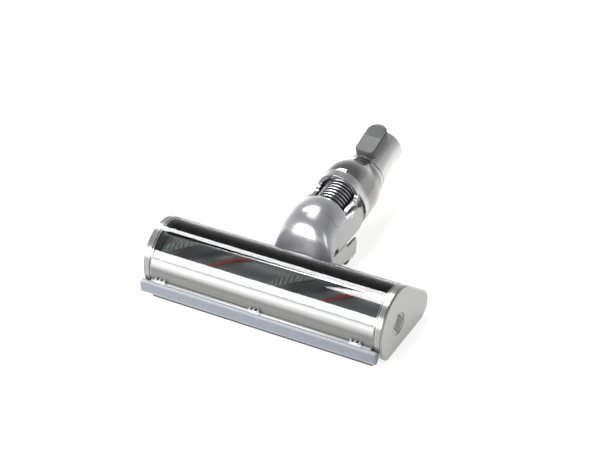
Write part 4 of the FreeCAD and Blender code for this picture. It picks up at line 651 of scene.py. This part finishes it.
# Floor: plain to the lamps' light, near white to the camera and in reflections
FLOOR_HALF = 6.0
floor_mesh = bpy.data.meshes.new("floor")
floor_mesh.from_pydata([(-FLOOR_HALF, -FLOOR_HALF, 0), (FLOOR_HALF, -FLOOR_HALF, 0),
                        (FLOOR_HALF, FLOOR_HALF, 0), (-FLOOR_HALF, FLOOR_HALF, 0)],
                       [], [(0, 1, 2, 3)])
floor = bpy.data.objects.new("floor", floor_mesh)
scene.collection.objects.link(floor)
g = material_graph("floor")
path = g.add("ShaderNodeLightPath")
seen = g.math("MAXIMUM", path.outputs["Is Camera Ray"],
              g.math("MAXIMUM", path.outputs["Is Glossy Ray"],
                     path.outputs["Is Transmission Ray"]))
lit = g.add("ShaderNodeAddShader")
g.link(g.shader("ShaderNodeBsdfDiffuse", Color=(0.36, 0.35, 0.335)), lit.inputs[0])
g.link(g.shader("ShaderNodeEmission", Color=(1.0, 1.0, 1.0), Strength=0.80), lit.inputs[1])
plain = g.shader("ShaderNodeBsdfDiffuse", Color=(0.80, 0.80, 0.79))
floor_mesh.materials.append(g.surface(g.mix(seen, plain, lit.outputs[0])))

# World: white to the camera, a plain fill, and reflections that darken upwards
world = bpy.data.worlds.new("studio")
scene.world = world
g = Graph(world, "ShaderNodeOutputWorld")
path = g.add("ShaderNodeLightPath")
ramp = g.add("ShaderNodeValToRGB")
ramp.color_ramp.elements[0].position = 0.0
ramp.color_ramp.elements[0].color = (1.0, 1.0, 1.0, 1.0)
ramp.color_ramp.elements[1].position = 0.60
ramp.color_ramp.elements[1].color = (0.26, 0.26, 0.27, 1.0)
ramp.color_ramp.elements.new(0.16).color = (0.72, 0.72, 0.73, 1.0)
g.link(g.split(g.places.outputs["Generated"])["Z"], ramp.inputs["Fac"])
mirror = g.shader("ShaderNodeBackground", Color=ramp.outputs[0])
fill = g.shader("ShaderNodeBackground", Color=(0.95, 0.97, 1.0), Strength=0.42)
white = g.shader("ShaderNodeBackground", Color=(1.0, 1.0, 1.0))
around = g.mix(path.outputs["Is Glossy Ray"], fill, mirror)
g.surface(g.mix(path.outputs["Is Camera Ray"], around, white))


# Softboxes along the roll: each spans an angle round the roll's axis, from the floor in front
def softbox(name, middle_x, long, low, high, radiance, roll=0.0, distance=1.25):
    angle = math.radians((low + high) / 2)
    back = Vector((0, -math.cos(angle), math.sin(angle)))
    light = bpy.data.lights.new(name, "AREA")
    light.shape = "RECTANGLE"
    light.size = long
    light.size_y = 2 * distance * math.tan(math.radians(high - low) / 2)
    light.energy = radiance * math.pi * light.size * light.size_y
    lamp = bpy.data.objects.new(name, light)
    turn = Matrix((Vector((1, 0, 0)), Vector((0, math.sin(angle), math.cos(angle))), back))
    place = Matrix.Translation(Vector((middle_x, HEAD_Y * MM, 0.05)) + back * distance)
    own_roll = Matrix.Rotation(math.radians(roll), 4, "Z")
    lamp.matrix_world = place @ turn.transposed().to_4x4() @ own_roll
    lamp.visible_camera = False
    scene.collection.objects.link(lamp)


softbox("key", middle_x=-0.55, long=1.1, low=11.0, high=35.0, radiance=12.0)
softbox("rear_strip", middle_x=-0.56, long=1.0, low=105.5, high=119.5, radiance=17.0)
softbox("upper", middle_x=-0.22, long=0.40, low=78.0, high=106.0, radiance=8.0, roll=-9.0)
softbox("side", middle_x=1.1, long=0.5, low=20.0, high=55.0, radiance=2.0, distance=0.9)

# Camera: fitted to the photograph's outline
AZIMUTH, ELEVATION, ROLL = math.radians(29.127), math.radians(33.919), math.radians(-1.024)
TARGET = Vector((-50.795, 136.771 + HEAD_Y, 0.0)) * MM
DISTANCE = 1.802115
back = Vector((math.sin(AZIMUTH) * math.cos(ELEVATION), -math.cos(AZIMUTH) * math.cos(ELEVATION),
               math.sin(ELEVATION)))
right = Vector((math.cos(AZIMUTH), math.sin(AZIMUTH), 0))
up = back.cross(right)
right_rolled = math.cos(ROLL) * right + math.sin(ROLL) * up
up_rolled = -math.sin(ROLL) * right + math.cos(ROLL) * up
camera = bpy.data.objects.new("camera", bpy.data.cameras.new("camera"))
camera.data.sensor_width = 36
camera.data.lens = 108
camera.data.clip_end = 50
turn = Matrix((right_rolled, up_rolled, back)).transposed()
camera.matrix_world = Matrix.Translation(TARGET + back * DISTANCE) @ turn.to_4x4()
scene.collection.objects.link(camera)
scene.camera = camera
scene.view_settings.view_transform = "Standard"

bpy.context.view_layer.update()
